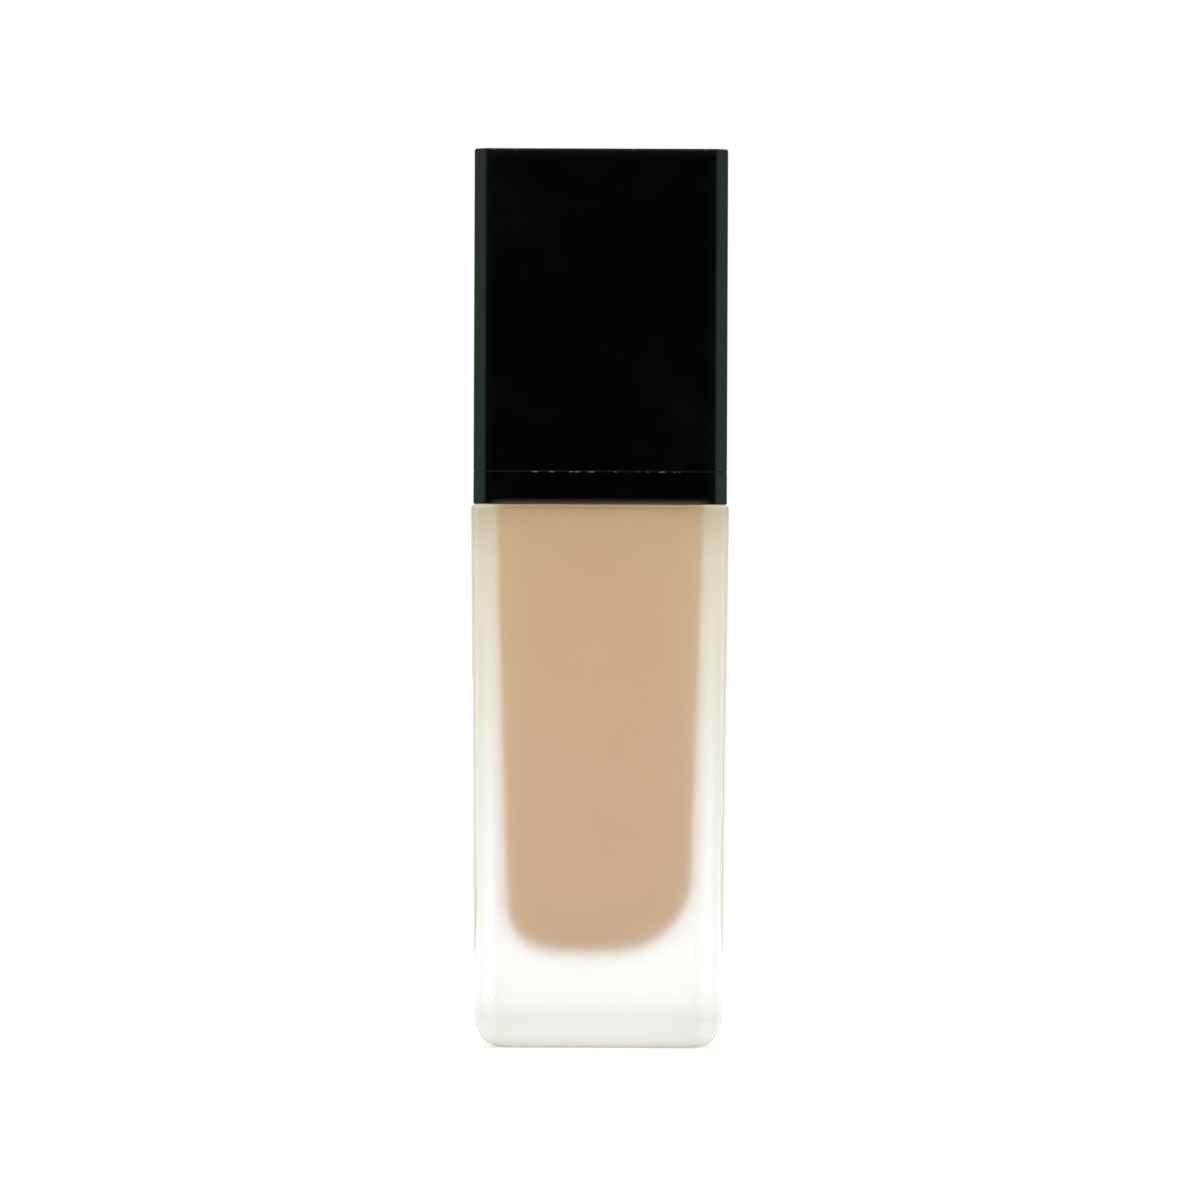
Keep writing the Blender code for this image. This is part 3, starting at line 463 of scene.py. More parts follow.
quarters = [(math.cos(math.radians(90 * k)), math.sin(math.radians(90 * k))) for k in range(4)]


def squareRing(half, corner, height, shift=0.0, side=14, turn=12, spread=0.86):
    # rounded square; the points of its sides stand a little closer to the corners
    points = []
    reach = half - corner
    for cosine, sine in quarters:
        spots = [(half, -reach)]
        for k in range(1, side):
            share = -1 + 2 * k / side
            spots.append((half, reach * math.copysign(1 - (1 - abs(share)) * spread, share)))
        for k in range(turn):
            angle = math.radians(90 * k / turn)
            spots.append((reach + corner * math.cos(angle), reach + corner * math.sin(angle)))
        points.extend((shift + x * cosine - y * sine, x * sine + y * cosine, height) for x, y in spots)
    return points


def roundRing(radius, height, like):
    # circle with a point at the bearing of each point of another ring
    angles = [math.atan2(y, x) for x, y, _ in like]
    return [(radius * math.cos(angle), radius * math.sin(angle), height) for angle in angles]


def chamferRing(half, chamfer, edge, height, side=20, strip=5, turn=3, margin=0.02):
    # square with flat corner chamfers, whose eight corners are eased by a small radius
    corners = []
    for cosine, sine in quarters:
        for x, y in ((half, -(half - chamfer)), (half, half - chamfer)):
            corners.append((x * cosine - y * sine, x * sine + y * cosine))
    points = []
    reach = edge * math.tan(math.radians(45 / 2))
    for i, corner in enumerate(corners):
        place = Vector(corner)
        back = (Vector(corners[i - 1]) - place).normalized()
        ahead = Vector(corners[(i + 1) % len(corners)]) - place
        length = ahead.length
        ahead.normalize()
        middle = place + (back + ahead).normalized() * (edge / math.cos(math.radians(45 / 2)))
        start = math.atan2(*(place + back * reach - middle).yx)
        for k in range(turn + 1):
            angle = start + math.radians(45) * k / turn
            points.append((middle.x + edge * math.cos(angle), middle.y + edge * math.sin(angle), height))
        between = side if i % 2 == 0 else strip
        for k in range(between + 1):
            share = margin + (1 - 2 * margin) * k / between
            spot = place + ahead * (reach + (length - 2 * reach) * share)
            points.append((spot.x, spot.y, height))
    return points


def arc(centerX, centerZ, radius, start, end, steps):
    points = []
    for k in range(steps + 1):
        angle = math.radians(start + (end - start) * k / steps)
        points.append((centerX + radius * math.cos(angle), centerZ + radius * math.sin(angle)))
    return points


def layForward(obj, height):
    # a piece turned about Z is laid to point to -Y at this height
    for vertex in obj.data.vertices:
        x, y, z = vertex.co
        vertex.co = (x, -z, y + height * mm)
    obj.data.update()
    return obj


def keepResult(obj, sharp=32):
    # what the modifiers make becomes plain mesh
    bpy.context.view_layer.update()
    graph = bpy.context.evaluated_depsgraph_get()
    mesh = bpy.data.meshes.new_from_object(obj.evaluated_get(graph))
    obj.modifiers.clear()
    obj.data = mesh
    shadeRounds(mesh, sharp)
    return obj


def drillForward(obj, profile, height, facets):
    # round hole to the front; the profile is (radius, distance from the axis)
    drill = layForward(turnedPiece("drill", profile, facets), height)
    change = obj.modifiers.new("cut", "BOOLEAN")
    change.operation = "DIFFERENCE"
    change.solver = "EXACT"
    change.object = drill
    keepResult(obj)
    bpy.data.objects.remove(drill)


def newTree(name, sizes, counts=()):
    tree = bpy.data.node_groups.new(name, "GeometryNodeTree")
    kinds = {"Geometry": "Geometry", **dict.fromkeys(sizes, "Float"), **dict.fromkeys(counts, "Int")}
    for label, kind in {**kinds, "Finish": "Material"}.items():
        tree.interface.new_socket(name=label, in_out="INPUT", socket_type="NodeSocket" + kind)
    tree.interface.new_socket(name="Geometry", in_out="OUTPUT", socket_type="NodeSocketGeometry")
    return tree, tree.nodes.new("NodeGroupInput").outputs, tree.nodes.new("NodeGroupOutput")


def endTree(tree, value, result, geometry):
    # every tree ends in plain geometry that carries its finish
    real = addNode(tree, "GeometryNodeRealizeInstances", Geometry=geometry)
    coat = addNode(tree, "GeometryNodeSetMaterial", Geometry=real.outputs[0], Material=value["Finish"])
    wire(tree, coat.outputs[0], result.inputs[0])
    return tree


def applyTree(obj, tree, values, finish, sharp=32):
    change = obj.modifiers.new("shape", "NODES")
    change.node_group = tree
    values = {**values, "Finish": finishes[finish]}
    for item in tree.interface.items_tree:
        if item.in_out == "INPUT" and item.name in values:
            change[item.identifier] = values[item.name]
    return keepResult(obj, sharp)


def threadTree():
    # pushes a round wall out (or in) along a right-hand helix, with ends that run out
    sizes = ("Radius", "Depth", "Pitch", "Low", "Turns", "Crest", "Flank", "Fade")
    tree, value, result = newTree("screwThread", sizes)
    place = addNode(tree, "GeometryNodeInputPosition").outputs[0]
    x, y, z = addNode(tree, "ShaderNodeSeparateXYZ", Vector=place).outputs
    turn = calc(tree, "DIVIDE", calc(tree, "ARCTAN2", y, x), math.tau)
    radius = calc(tree, "SQRT", calc(tree, "ADD", times(tree, x, x), times(tree, y, y)))
    rise = calc(tree, "DIVIDE", minus(tree, z, value["Low"]), value["Pitch"])
    along = calc(tree, "ADD", calc(tree, "ROUND", minus(tree, rise, turn)), turn)
    away = times(tree, calc(tree, "ABSOLUTE", minus(tree, rise, along)), value["Pitch"])
    reach = calc(tree, "ADD", value["Crest"], value["Flank"])
    form = calc(tree, "DIVIDE", minus(tree, reach, away), value["Flank"], clamp=True)
    start = calc(tree, "DIVIDE", along, value["Fade"], clamp=True)
    end = calc(tree, "DIVIDE", minus(tree, value["Turns"], along), value["Fade"], clamp=True)
    form = times(tree, form, times(tree, start, end))
    form = calc(tree, "SMOOTH_MIN", form, 0.92, 0.2)  # eases the crest
    push = calc(tree, "DIVIDE", times(tree, form, value["Depth"]), radius)
    wallSlack = 0.05 * mm
    push = times(tree, push, calc(tree, "COMPARE", radius, value["Radius"], wallSlack))
    offset = vector(tree, times(tree, x, push), times(tree, y, push))
    move = addNode(tree, "GeometryNodeSetPosition", Geometry=value["Geometry"], Offset=offset)
    return endTree(tree, value, result, move.outputs[0])


def ribTree():
    # upright ribs, set evenly round the axis and joined to the piece
    sizes = ("Radius", "Middle", "Height", "Width", "Depth", "Start")
    tree, value, result = newTree("ribRow", sizes, ["Count"])
    size = vector(tree, value["Depth"], value["Width"], value["Height"])
    block = addNode(tree, "GeometryNodeMeshCube", Size=size)
    ring = addNode(tree, "GeometryNodeMeshCircle", Vertices=value["Count"], Radius=value["Radius"])
    spin = addNode(
        tree, "GeometryNodeTransform", Geometry=ring.outputs[0],
        Translation=vector(tree, z=value["Middle"]), Rotation=vector(tree, z=value["Start"]),
    )
    place = addNode(tree, "GeometryNodeInputPosition").outputs[0]
    spot = addNode(tree, "ShaderNodeSeparateXYZ", Vector=place).outputs
    face = addNode(tree, "FunctionNodeAlignRotationToVector", Vector=vector(tree, spot["X"], spot["Y"]))
    face.axis = "X"
    face.pivot_axis = "Z"
    copies = addNode(
        tree, "GeometryNodeInstanceOnPoints",
        Points=spin.outputs[0], Instance=block.outputs["Mesh"], Rotation=face.outputs[0],
    )
    both = tree.nodes.new("GeometryNodeJoinGeometry")
    wire(tree, copies.outputs[0], both.inputs[0])
    wire(tree, value["Geometry"], both.inputs[0])
    return endTree(tree, value, result, both.outputs[0])


def coilTree():
    # compression spring: one closed turn at each end and an even pitch between
    sizes = ("Radius", "Wire", "Bottom", "Top", "Turns", "Closed rise")
    tree, value, result = newTree("springCoil", sizes, ["Steps", "Wire facets"])
    line = addNode(tree, "GeometryNodeCurvePrimitiveLine")
    cutUp = addNode(tree, "GeometryNodeResampleCurve", Curve=line.outputs[0], Count=value["Steps"])
    factor = addNode(tree, "GeometryNodeSplineParameter").outputs["Factor"]
    turn = times(tree, factor, calc(tree, "ADD", value["Turns"], 2.0))
    opened = calc(tree, "MINIMUM", calc(tree, "MAXIMUM", minus(tree, turn, 1.0), 0.0), value["Turns"])
    shut = minus(tree, turn, opened)
    low = calc(tree, "ADD", value["Bottom"], value["Wire"])
    high = minus(tree, value["Top"], value["Wire"])
    free = minus(tree, minus(tree, high, low), times(tree, value["Closed rise"], 2.0))
    pitch = calc(tree, "DIVIDE", free, value["Turns"])
    height = calc(tree, "ADD", low, times(tree, shut, value["Closed rise"]))
    height = calc(tree, "ADD", height, times(tree, opened, pitch))
    angle = times(tree, turn, math.tau)
    x, y = (times(tree, calc(tree, kind, angle), value["Radius"]) for kind in ("COSINE", "SINE"))
    move = addNode(
        tree, "GeometryNodeSetPosition", Geometry=cutUp.outputs[0], Position=vector(tree, x, y, height),
    )
    section = addNode(
        tree, "GeometryNodeCurvePrimitiveCircle", Resolution=value["Wire facets"], Radius=value["Wire"],
    )
    skin = addNode(
        tree, "GeometryNodeCurveToMesh",
        Curve=move.outputs[0], Profile_Curve=section.outputs[0], Fill_Caps=True,
    )
    return endTree(tree, value, result, skin.outputs[0])


screwThread = threadTree()
ribRow = ribTree()
springCoil = coilTree()


def settle(obj, body, node, finish):
    # gives a finished mesh its finish, its body and the CAD node that it stands for
    if obj.data.materials:
        obj.data.materials[0] = finishes[finish]
    else:
        obj.data.materials.append(finishes[finish])
    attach(obj, body)
    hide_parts(node)
    return obj


glass = dict(
    halfTop=16.0, taper=0.65, height=67.5, corner=0.8, baseRound=3.7, shoulderRound=0.5, shoulderLead=0.1,
    bearing=2.0, bearingLead=0.25, pushUp=0.9, dishCorner=0.6, dishPower=1.15,
    neckRadius=7.75, neckBore=5.25, neckRoot=0.8, rim=81.0, rimRound=0.6, throatRound=0.4,
    wall=4.1, floor=11.5, ceiling=67.2, ceilingHalf=13.05, cavityCorner=4.5,
    nearRound=6.0, farRound=9.5, topRound=0.25,
)
glassRows = dict(  # how finely each stretch is divided
    dish=12, base=18, wall=32, shoulder=10, neck=84, small=6, throat=4, floor=22, cavity=20, ceiling=8,
)
neckThread = {
    "Radius": 7.75 * mm, "Depth": 0.85 * mm, "Pitch": 3.175 * mm, "Low": 73.6 * mm, "Turns": 1.65,
    "Crest": 0.35 * mm, "Flank": 0.55 * mm, "Fade": 0.12,
}


def bodyHalf(z):
    return glass["halfTop"] - glass["taper"] * (1 - z / glass["height"])


def cavityRings(gap):
    # inside of the glass from floor to ceiling; the far corner settled thicker than the near one
    g, rows = glass, glassRows
    floor, ceiling = g["floor"] + gap, g["ceiling"] - gap
    low, high = bodyHalf(g["floor"]) - g["wall"] - gap, g["ceilingHalf"] - gap
    corner = g["cavityCorner"] - gap

    def wallHalf(z):
        return low + (high - low) * (z - floor) / (ceiling - floor)

    def inset(radius, rise):
        left = max(radius - rise, 0.0)
        return radius - math.sqrt(radius**2 - left**2)

    rings = [(0.0, 0.0, floor, (g["nearRound"] - g["farRound"]) / 2)]
    for k in range(rows["floor"] + 1):
        rise = g["farRound"] * (1 - math.cos(math.radians(90 * k / rows["floor"])))
        near, far = inset(g["nearRound"], rise), inset(g["farRound"], rise)
        half = wallHalf(floor + rise) - (near + far) / 2
        rings.append((half, min(half, corner), floor + rise, (near - far) / 2))
    bend, top = floor + g["farRound"], ceiling - g["topRound"]
    for k in range(1, rows["cavity"]):
        z = bend + (top - bend) * k / rows["cavity"]
        rings.append((wallHalf(z), corner, z, 0.0))
    inner = wallHalf(top) - g["topRound"]
    for x, z in arc(inner, top, g["topRound"], 0, 90, rows["ceiling"]):
        rings.append((x, corner - (inner + g["topRound"] - x) / 2, z, 0.0))
    return [squareRing(*ring) for ring in rings]


def glassBody():
    g, rows = glass, glassRows
    rings = []
    flat = bodyHalf(g["baseRound"]) - g["baseRound"]
    dish = flat - g["bearing"]
    for k in range(rows["dish"] + 1):
        share = k / rows["dish"]
        height = g["pushUp"] * (1 - share**2) ** g["dishPower"]
        rings.append(squareRing(dish * share, dish * share * g["dishCorner"], height))
    outer = dish + g["bearingLead"]
    rings.append(squareRing(outer, outer * g["dishCorner"], 0.0))
    widest = g["corner"] + g["baseRound"] / 2
    for x, z in arc(flat, g["baseRound"], g["baseRound"], -90, 0, rows["base"]):
        inset = flat + g["baseRound"] - x
        rings.append(squareRing(x, min(g["corner"] + inset / 2, widest), z))
    top = g["height"] - g["shoulderRound"]
    for k in range(1, rows["wall"]):
        z = g["baseRound"] + (top - g["baseRound"]) * k / rows["wall"]
        rings.append(squareRing(bodyHalf(z), g["corner"], z))
    shoulder = g["halfTop"] - g["shoulderRound"]
    for x, z in arc(shoulder, top, g["shoulderRound"], 0, 90, rows["shoulder"]):
        rings.append(squareRing(x, g["corner"], z))
    like = rings[-1]
    rings.append(squareRing(shoulder - g["shoulderLead"], g["corner"], g["height"]))
    low, high = g["height"] + g["neckRoot"], g["rim"] - g["rimRound"]
    neck = arc(g["neckRadius"] + g["neckRoot"], low, g["neckRoot"], 270, 180, rows["small"])
    neck += [(g["neckRadius"], low + (high - low) * k / rows["neck"]) for k in range(1, rows["neck"])]
    neck += arc(g["neckRadius"] - g["rimRound"], high, g["rimRound"], 0, 90, rows["small"])
    neck += arc(g["neckBore"] + g["rimRound"], high, g["rimRound"], 90, 180, rows["small"])
    throat = g["throatRound"]
    neck += arc(g["neckBore"] + throat, g["ceiling"] + throat, throat, 180, 270, rows["throat"])
    rings += [roundRing(x, z, like) for x, z in neck]
    rings += cavityRings(0.0)[::-1]
    body = lofted("frostedGlassBody", rings)
    return applyTree(body, screwThread, neckThread, "frosted")


bodyPiece = settle(glassBody(), "bottle", "glass_bottle", "frosted")
print("glass body:", len(bodyPiece.data.polygons), "faces")

fill = dict(
    wet=-0.04,  # a wet fill has no air between it and the glass
    mouth=5.1, mouthEase=0.15,
    hollow=[
        (4.95, 60.0), (4.95, 58.1), (3.7, 56.85), (3.7, 54.3), (2.7, 53.3), (2.7, 49.4), (1.8, 49.2),
        (1.8, 12.7), (0.0, 12.7),
    ],
)


def makeUpFill():
    rings = cavityRings(fill["wet"])
    like = rings[-1]
    mouth, ease, ceiling = fill["mouth"], fill["mouthEase"], glass["ceiling"] - fill["wet"]
    hollow = [(mouth, ceiling), (mouth - ease, ceiling - ease), *fill["hollow"]]
    rings += [roundRing(radius, z, like) for radius, z in hollow]
    return lofted("makeUpFill", rings)


settle(makeUpFill(), "bottle", "foundation_liquid", "fill")
print("fill ready")

# gasket, pump and closure; each corner is (radius, height, round)
natural = dict(slot="natural_plastic", finish="natural")
turnedParts = {
    "foamWasher": dict(
        node="neck_gasket", body="gasket", slot="foam_washer", finish="foam", facets=96,
        corners=[(7.55, 82.2, 0.15), (7.55, 81.2, 0.15), (4.75, 81.2, 0.12), (4.75, 82.2, 0.12)],
    ),
    "pumpBarrel": dict(
        natural, node="pump_housing", body="pump_unit", facets=80,
        corners=[
            (7.65, 83.5, 0.15), (7.65, 82.4, 0.2), (4.65, 82.4, 0.25), (4.65, 58.4, 0.4),
            (3.4, 57.15, 0.4), (3.4, 54.58, 0.3), (2.4, 53.58, 0.3), (2.4, 49.68, 0.15),
            (1.6, 49.68, 0.15), (1.6, 53.68, 0.05), (0.9, 53.68, 0.05), (0.9, 55.48, 0.08),
            (2.4, 56.98, 0.3), (2.4, 58.9, 0.08), (3.65, 58.9, 0.12), (3.65, 83.5, 0.15),
        ],
    ),
    "pistonRod": dict(
        natural, node="piston_rod", body="stem", facets=64,
        corners=[
            (0.0, 77.0), (0.95, 77.0, 0.25), (0.95, 73.3, 0.12), (3.15, 73.3, 0.12), (3.15, 72.3, 0.12),
            (2.15, 72.3, 0.1), (2.15, 70.0, 0.3), (0.0, 70.0),
        ],
    ),
    "pistonSeal": dict(
        node="piston", body="piston", slot="piston_plastic", finish="seal", facets=80,
        corners=[
            (3.55, 78.3, 0.06), (3.15, 77.1, 0.2), (3.15, 74.7, 0.2), (3.55, 73.5, 0.06),
            (3.15, 73.5, 0.05), (2.75, 74.34, 0.1), (2.3, 74.34, 0.1), (2.0, 73.5, 0.05),
            (2.0, 78.0, 0.05), (2.3, 77.46, 0.1), (2.75, 77.46, 0.1), (3.15, 78.3, 0.05),
        ],
    ),
    "dischargeStem": dict(
        natural, node="stem", body="stem", facets=64,
        corners=[
            (1.9, 96.9, 0.3), (1.9, 80.0, 0.1), (2.85, 80.0, 0.12), (2.85, 79.3, 0.12),
            (1.9, 79.3, 0.08), (1.9, 74.0, 0.1), (1.15, 74.0, 0.08), (1.15, 77.3, 0.1),
            (0.95, 77.6, 0.1), (0.95, 96.9, 0.2),
        ],
    ),
    "guideChaplet": dict(
        natural, node="chaplet", body="pump_unit", facets=80,
        corners=[
            (4.65, 88.0, 0.3), (4.65, 84.5, 0.15), (7.45, 84.5, 0.15), (7.45, 83.7, 0.15),
            (3.45, 83.7, 0.1), (3.45, 80.2, 0.2), (2.0, 80.2, 0.1), (2.0, 85.1, 0.1),
            (3.45, 85.1, 0.25), (3.45, 88.0, 0.2),
        ],
    ),
    "threadedClosure": dict(
        node="screw_closure", body="closure", slot="black_satin", finish="satin", facets=112,
        corners=[
            (4.95, 85.9, 0.1), (10.15, 85.9, 0.6), (10.15, 68.1, 0.15), (8.95, 68.1, 0.3),
            *[(8.95, 68.6 + 0.2 * k) for k in range(78)],  # rows for the thread
            (8.95, 84.7, 0.4), (4.95, 84.7, 0.1),
        ],
    ),
    "gripShroud": dict(
        node="pump_shroud", body="closure", slot="black_gloss", finish="shroud", facets=144,
        corners=[
            (8.95, 90.9, 0.35), (11.35, 90.9, 0.6), (11.35, 82.3, 0.8), (11.5, 81.6, 0.6),
            (11.5, 80.95, 0.6), (11.35, 80.25, 0.8), (11.35, 69.4, 0.2), (10.35, 69.4, 0.15),
            (10.35, 89.9, 0.3), (8.95, 89.9, 0.15),
        ],
    ),
}
turned = {name: turnedPiece(name, part["corners"], part["facets"]) for name, part in turnedParts.items()}

# air hole at the front of the barrel, level with the piston's upper lip
airHole = dict(profile=[(0.0, 3.0), (0.4, 3.0), (0.4, 6.0), (0.0, 6.0)], height=78.3, facets=24)
drillForward(turned["pumpBarrel"], **airHole)

closureThread = {
    **neckThread, "Radius": 8.95 * mm, "Depth": -0.8 * mm, "Low": 72.0125 * mm,  # half a pitch lower
    "Turns": 2.3, "Crest": 0.3 * mm, "Flank": 0.5 * mm, "Fade": 0.1,
}
applyTree(turned["threadedClosure"], screwThread, closureThread, "satin")
closureRibs = {
    "Count": 72, "Radius": 10.15 * mm, "Middle": 76.6 * mm, "Height": 15.2 * mm, "Width": 0.34 * mm,
    "Depth": 0.24 * mm, "Start": 0.0,
}
applyTree(turned["threadedClosure"], ribRow, closureRibs, "satin")

for name, part in turnedParts.items():
    settle(turned[name], part["body"], part["node"], part["finish"])
print("turned pieces:", len(turned))

tube = dict(radius=1.5, bore=0.95, top=53.48, bottom=13.0, topEase=0.12, lowEase=0.08, slant=35, facets=56)


def dipTube():
    t = tube
    corners = [
        (t["radius"], t["top"], t["topEase"]), (t["radius"], t["bottom"], t["lowEase"]),
        (t["bore"], t["bottom"], t["lowEase"]), (t["bore"], t["top"], t["topEase"]),
    ]
    piece = turnedPiece("dipTube", corners, t["facets"])
    rise = math.tan(math.radians(t["slant"]))
    for vertex in piece.data.vertices:
        if vertex.co.z < (t["top"] + t["bottom"]) / 2 * mm:
            vertex.co.z += (vertex.co.x + t["radius"] * mm) * rise
    piece.data.update()
    return piece


settle(dipTube(), "pump_unit", "dip_tube", "tube")

spring = {
    "Radius": 2.85 * mm, "Wire": 0.3 * mm, "Bottom": 60.3 * mm, "Top": 72.1 * mm, "Turns": 7.0,
    "Closed rise": 0.69 * mm, "Steps": 433, "Wire facets": 12,
}
coil = newObject("returnSpring", bpy.data.meshes.new("returnSpring"))
applyTree(coil, springCoil, spring, "spring", sharp=60)
settle(coil, "pump_unit", "return_spring", "spring")
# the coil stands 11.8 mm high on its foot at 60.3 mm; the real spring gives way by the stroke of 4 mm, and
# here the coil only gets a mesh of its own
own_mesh(coil)

ball = dict(radius=1.4, height=56.7, fineness=4)


def checkBall():
    shape = bmesh.new()
    bmesh.ops.create_icosphere(shape, subdivisions=ball["fineness"], radius=ball["radius"] * mm)
    for vertex in shape.verts:
        vertex.co.z += ball["height"] * mm
    return closedMesh("checkBall", shape)


settle(checkBall(), "ball", "inlet_ball", "ballSteel")

cage = dict(
    outer=3.55, inner=2.3, low=59.1, high=60.1, outerEase=0.12, innerEase=0.1, facets=64,
    bar=0.58, reach=2.76, barInset=0.1, barEase=0.08,
)


def ballCage():
    c = cage
    corners = [
        (c["outer"], c["high"], c["outerEase"]), (c["outer"], c["low"], c["outerEase"]),
        (c["inner"], c["low"], c["innerEase"]), (c["inner"], c["high"], c["innerEase"]),
    ]
    piece = turnedPiece("ballCage", corners, c["facets"])
    shape = bmesh.new()
    shape.from_mesh(piece.data)
    bar = bmesh.ops.create_cube(shape, size=1.0)["verts"]
    for vertex in bar:
        vertex.co.x *= c["reach"] * 2 * mm
        vertex.co.y *= c["bar"] * 2 * mm
        vertex.co.z = (c["high"] - c["barInset"] if vertex.co.z > 0 else c["low"] + c["barInset"]) * mm
    edges = list({edge for vertex in bar for edge in vertex.link_edges})
    bmesh.ops.bevel(shape, geom=edges, offset=c["barEase"] * mm, segments=2, affect="EDGES")
    shape.to_mesh(piece.data)
    shape.free()
    shadeRounds(piece.data)
    return piece


settle(ballCage(), "pump_unit", "ball_cage", "natural")
print("pump inside ready")

button = dict(
    radius=8.65, skirtInner=7.65, bottom=90.2, top=104.4, ceiling=103.2, dish=0.5, dishRows=8, round=0.9,
    lipEase=0.2, innerRound=0.4, facets=144,
    spoutHole=dict(
        profile=[(0.0, 9.9), (3.0, 9.9), (2.1, 8.55), (2.1, 6.6), (0.0, 6.6)], height=98.9, facets=48,
    ),
)


def pushButton():
    b = button
    flat = b["radius"] - b["round"]
    shares = [k / b["dishRows"] for k in range(b["dishRows"] + 1)]
    corners = [
        *[(flat * share, b["top"] - b["dish"] * (1 - share**2)) for share in shares],
        *arc(flat, b["top"] - b["round"], b["round"], 84, 0, 7),
        (b["radius"], b["bottom"], b["lipEase"]), (b["skirtInner"], b["bottom"], b["lipEase"]),
        (b["skirtInner"], b["ceiling"], b["innerRound"]), (0.0, b["ceiling"]),
    ]
    piece = turnedPiece("pushButton", corners, b["facets"])
    drillForward(piece, **b["spoutHole"])
    return piece


settle(pushButton(), "actuator", "actuator_button", "shroud")

# the spout's corners are (radius, distance from the axis, round)
spout = dict(
    height=98.9, facets=56,
    corners=[
        (0.5, 9.9, 0.1), (0.5, 3.68, 0.08), (1.2, 3.68, 0.15), (1.2, 7.08, 0.08), (1.9, 7.08, 0.1),
        (1.9, 10.6, 0.5), (0.85, 10.6, 0.12),
    ],
)
spoutPiece = layForward(turnedPiece("nozzleSpout", spout["corners"], spout["facets"]), spout["height"])
settle(spoutPiece, "actuator", "nozzle_spout", "satin")

# the button's inner body is seen as its solid, with a finish
coreNode = frame["nodes"]["actuator_core"]
coreNode.data.materials.clear()
coreNode.data.materials.append(finishes["satin"])
print("actuator ready")

collar = dict(
    half=15.75, bottom=67.56, top=71.65, chamfer=1.4, edge=0.45, ease=0.12, lowEase=0.15,
    well=11.55, floor=69.2, hole=10.45, flare=0.6, innerEase=0.1,
    step=14.15, stepTop=72.15, stepEdge=0.15, stepEase=0.1, stepRoot=0.02,
)


def squareCollar():
    c = collar
    ease, lowEase, root, stepEase = c["ease"], c["lowEase"], c["stepRoot"], c["stepEase"]
    outline = [(lowEase * 1.1, c["bottom"])]
    outline += [(lowEase - x, z) for x, z in arc(0.0, c["bottom"] + lowEase, lowEase, -90, 0, 10)]
    outline += [(0.0, c["bottom"] + lowEase * 1.1), (0.0, c["top"] - ease * 1.6)]
    outline += [(ease - x, z) for x, z in arc(0.0, c["top"] - ease, ease, 0, 90, 4)]
    outline.append((ease * 2.2, c["top"]))
    rings = [chamferRing(c["half"] - inset, c["chamfer"] - inset / 2, c["edge"], z) for inset, z in outline]
    step = [(-root, c["top"]), (0.0, c["top"] + root)]
    step += [(0.0, c["stepTop"] - stepEase), (stepEase, c["stepTop"])]
    rings += [chamferRing(c["step"] - inset, c["chamfer"], c["stepEdge"], z) for inset, z in step]
    well, hole, flare, inner = c["well"], c["hole"], c["flare"], c["innerEase"]
    inside = rounded([
        (well + flare, c["stepTop"]), (well, c["stepTop"], ease), (well, c["floor"], inner),
        (hole, c["floor"], inner), (hole, c["bottom"], ease), (hole + flare, c["bottom"]),
    ], closed=False)
    like = chamferRing(c["half"], c["chamfer"], c["edge"], 0.0)
    rings += [roundRing(x, z, like) for x, z in inside]
    return lofted("squareCollar", rings, closed=True)


settle(squareCollar(), "closure", "square_collar", "collar")

cap = dict(
    half=15.75, bottom=71.66, top=111.7, chamfer=1.4, edge=0.45, ease=0.3, wall=1.3, foot=0.08,
    innerRound=0.4, innerChamfer=0.3, wallRows=8,
)


def squareOvercap():
    c = cap

    def ring(inset, z):
        chamfer = max(c["chamfer"] - inset * (2 - math.sqrt(2)), c["innerChamfer"])
        return chamferRing(c["half"] - inset, chamfer, c["edge"], z)

    def shrunk(outline, share):
        return [(x * share, y * share, z) for x, y, z in outline]

    ease, foot, wall, inner = c["ease"], c["foot"], c["wall"], c["innerRound"]
    high, low, ceiling = c["top"] - ease * 1.5, c["bottom"] + foot * 1.5, c["top"] - wall
    outline = [(ease * 1.6, c["top"])]
    outline += [(ease - x, z) for x, z in arc(0.0, c["top"] - ease, ease, 90, 0, 6)]
    outline += [(0.0, high + (low - high) * k / c["wallRows"]) for k in range(c["wallRows"] + 1)]
    outline += [(foot - x, z) for x, z in arc(0.0, c["bottom"] + foot, foot, 0, -90, 3)]
    outline += [(wall - foot - x, z) for x, z in arc(0.0, c["bottom"] + foot, foot, 270, 180, 3)]
    outline.append((wall, ceiling - inner * 1.5))
    outline += [(wall + inner - x, z) for x, z in arc(0.0, ceiling - inner, inner, 0, 90, 4)]
    rings = [shrunk(ring(0.0, c["top"]), share) for share in (0.0, 0.35, 0.7)]
    rings += [ring(inset, z) for inset, z in outline]
    for share in (0.7, 0.0):
        rings.append(shrunk(rings[-1], share))
    return lofted("squareOvercap", rings)


settle(squareOvercap(), "overcap", "overcap_shell", "cap")

liner = dict(
    half=14.25, chamfer=1.4, edge=0.15, bottom=72.35, flange=1.2, bore=11.6, wall=1.0, top=88.35, flare=0.8,
    easing=((0.2, 0.0), (0.05, 0.06), (0.0, 0.2)),  # how far in, how far from the flange's face
)


def overcapLiner():
    n = liner
    step = n["bottom"] + n["flange"]
    outline = [(inset, n["bottom"] + rise) for inset, rise in n["easing"]]
    outline += [(inset, step - rise) for inset, rise in n["easing"][::-1]]
    rings = [chamferRing(n["half"] - inset, n["chamfer"], n["edge"], z) for inset, z in outline]
    like = chamferRing(n["half"], n["chamfer"], n["edge"], 0.0)
    bore, outer = n["bore"], n["bore"] + n["wall"]
    inside = rounded([
        (outer + n["flare"], step), (outer, step, 0.3), (outer, n["top"], 0.2), (bore, n["top"], 0.3),
        (bore, n["bottom"], 0.35), (bore + n["flare"], n["bottom"]),
    ], closed=False)
    rings += [roundRing(x, z, like) for x, z in inside]
    return lofted("overcapLiner", rings, closed=True)


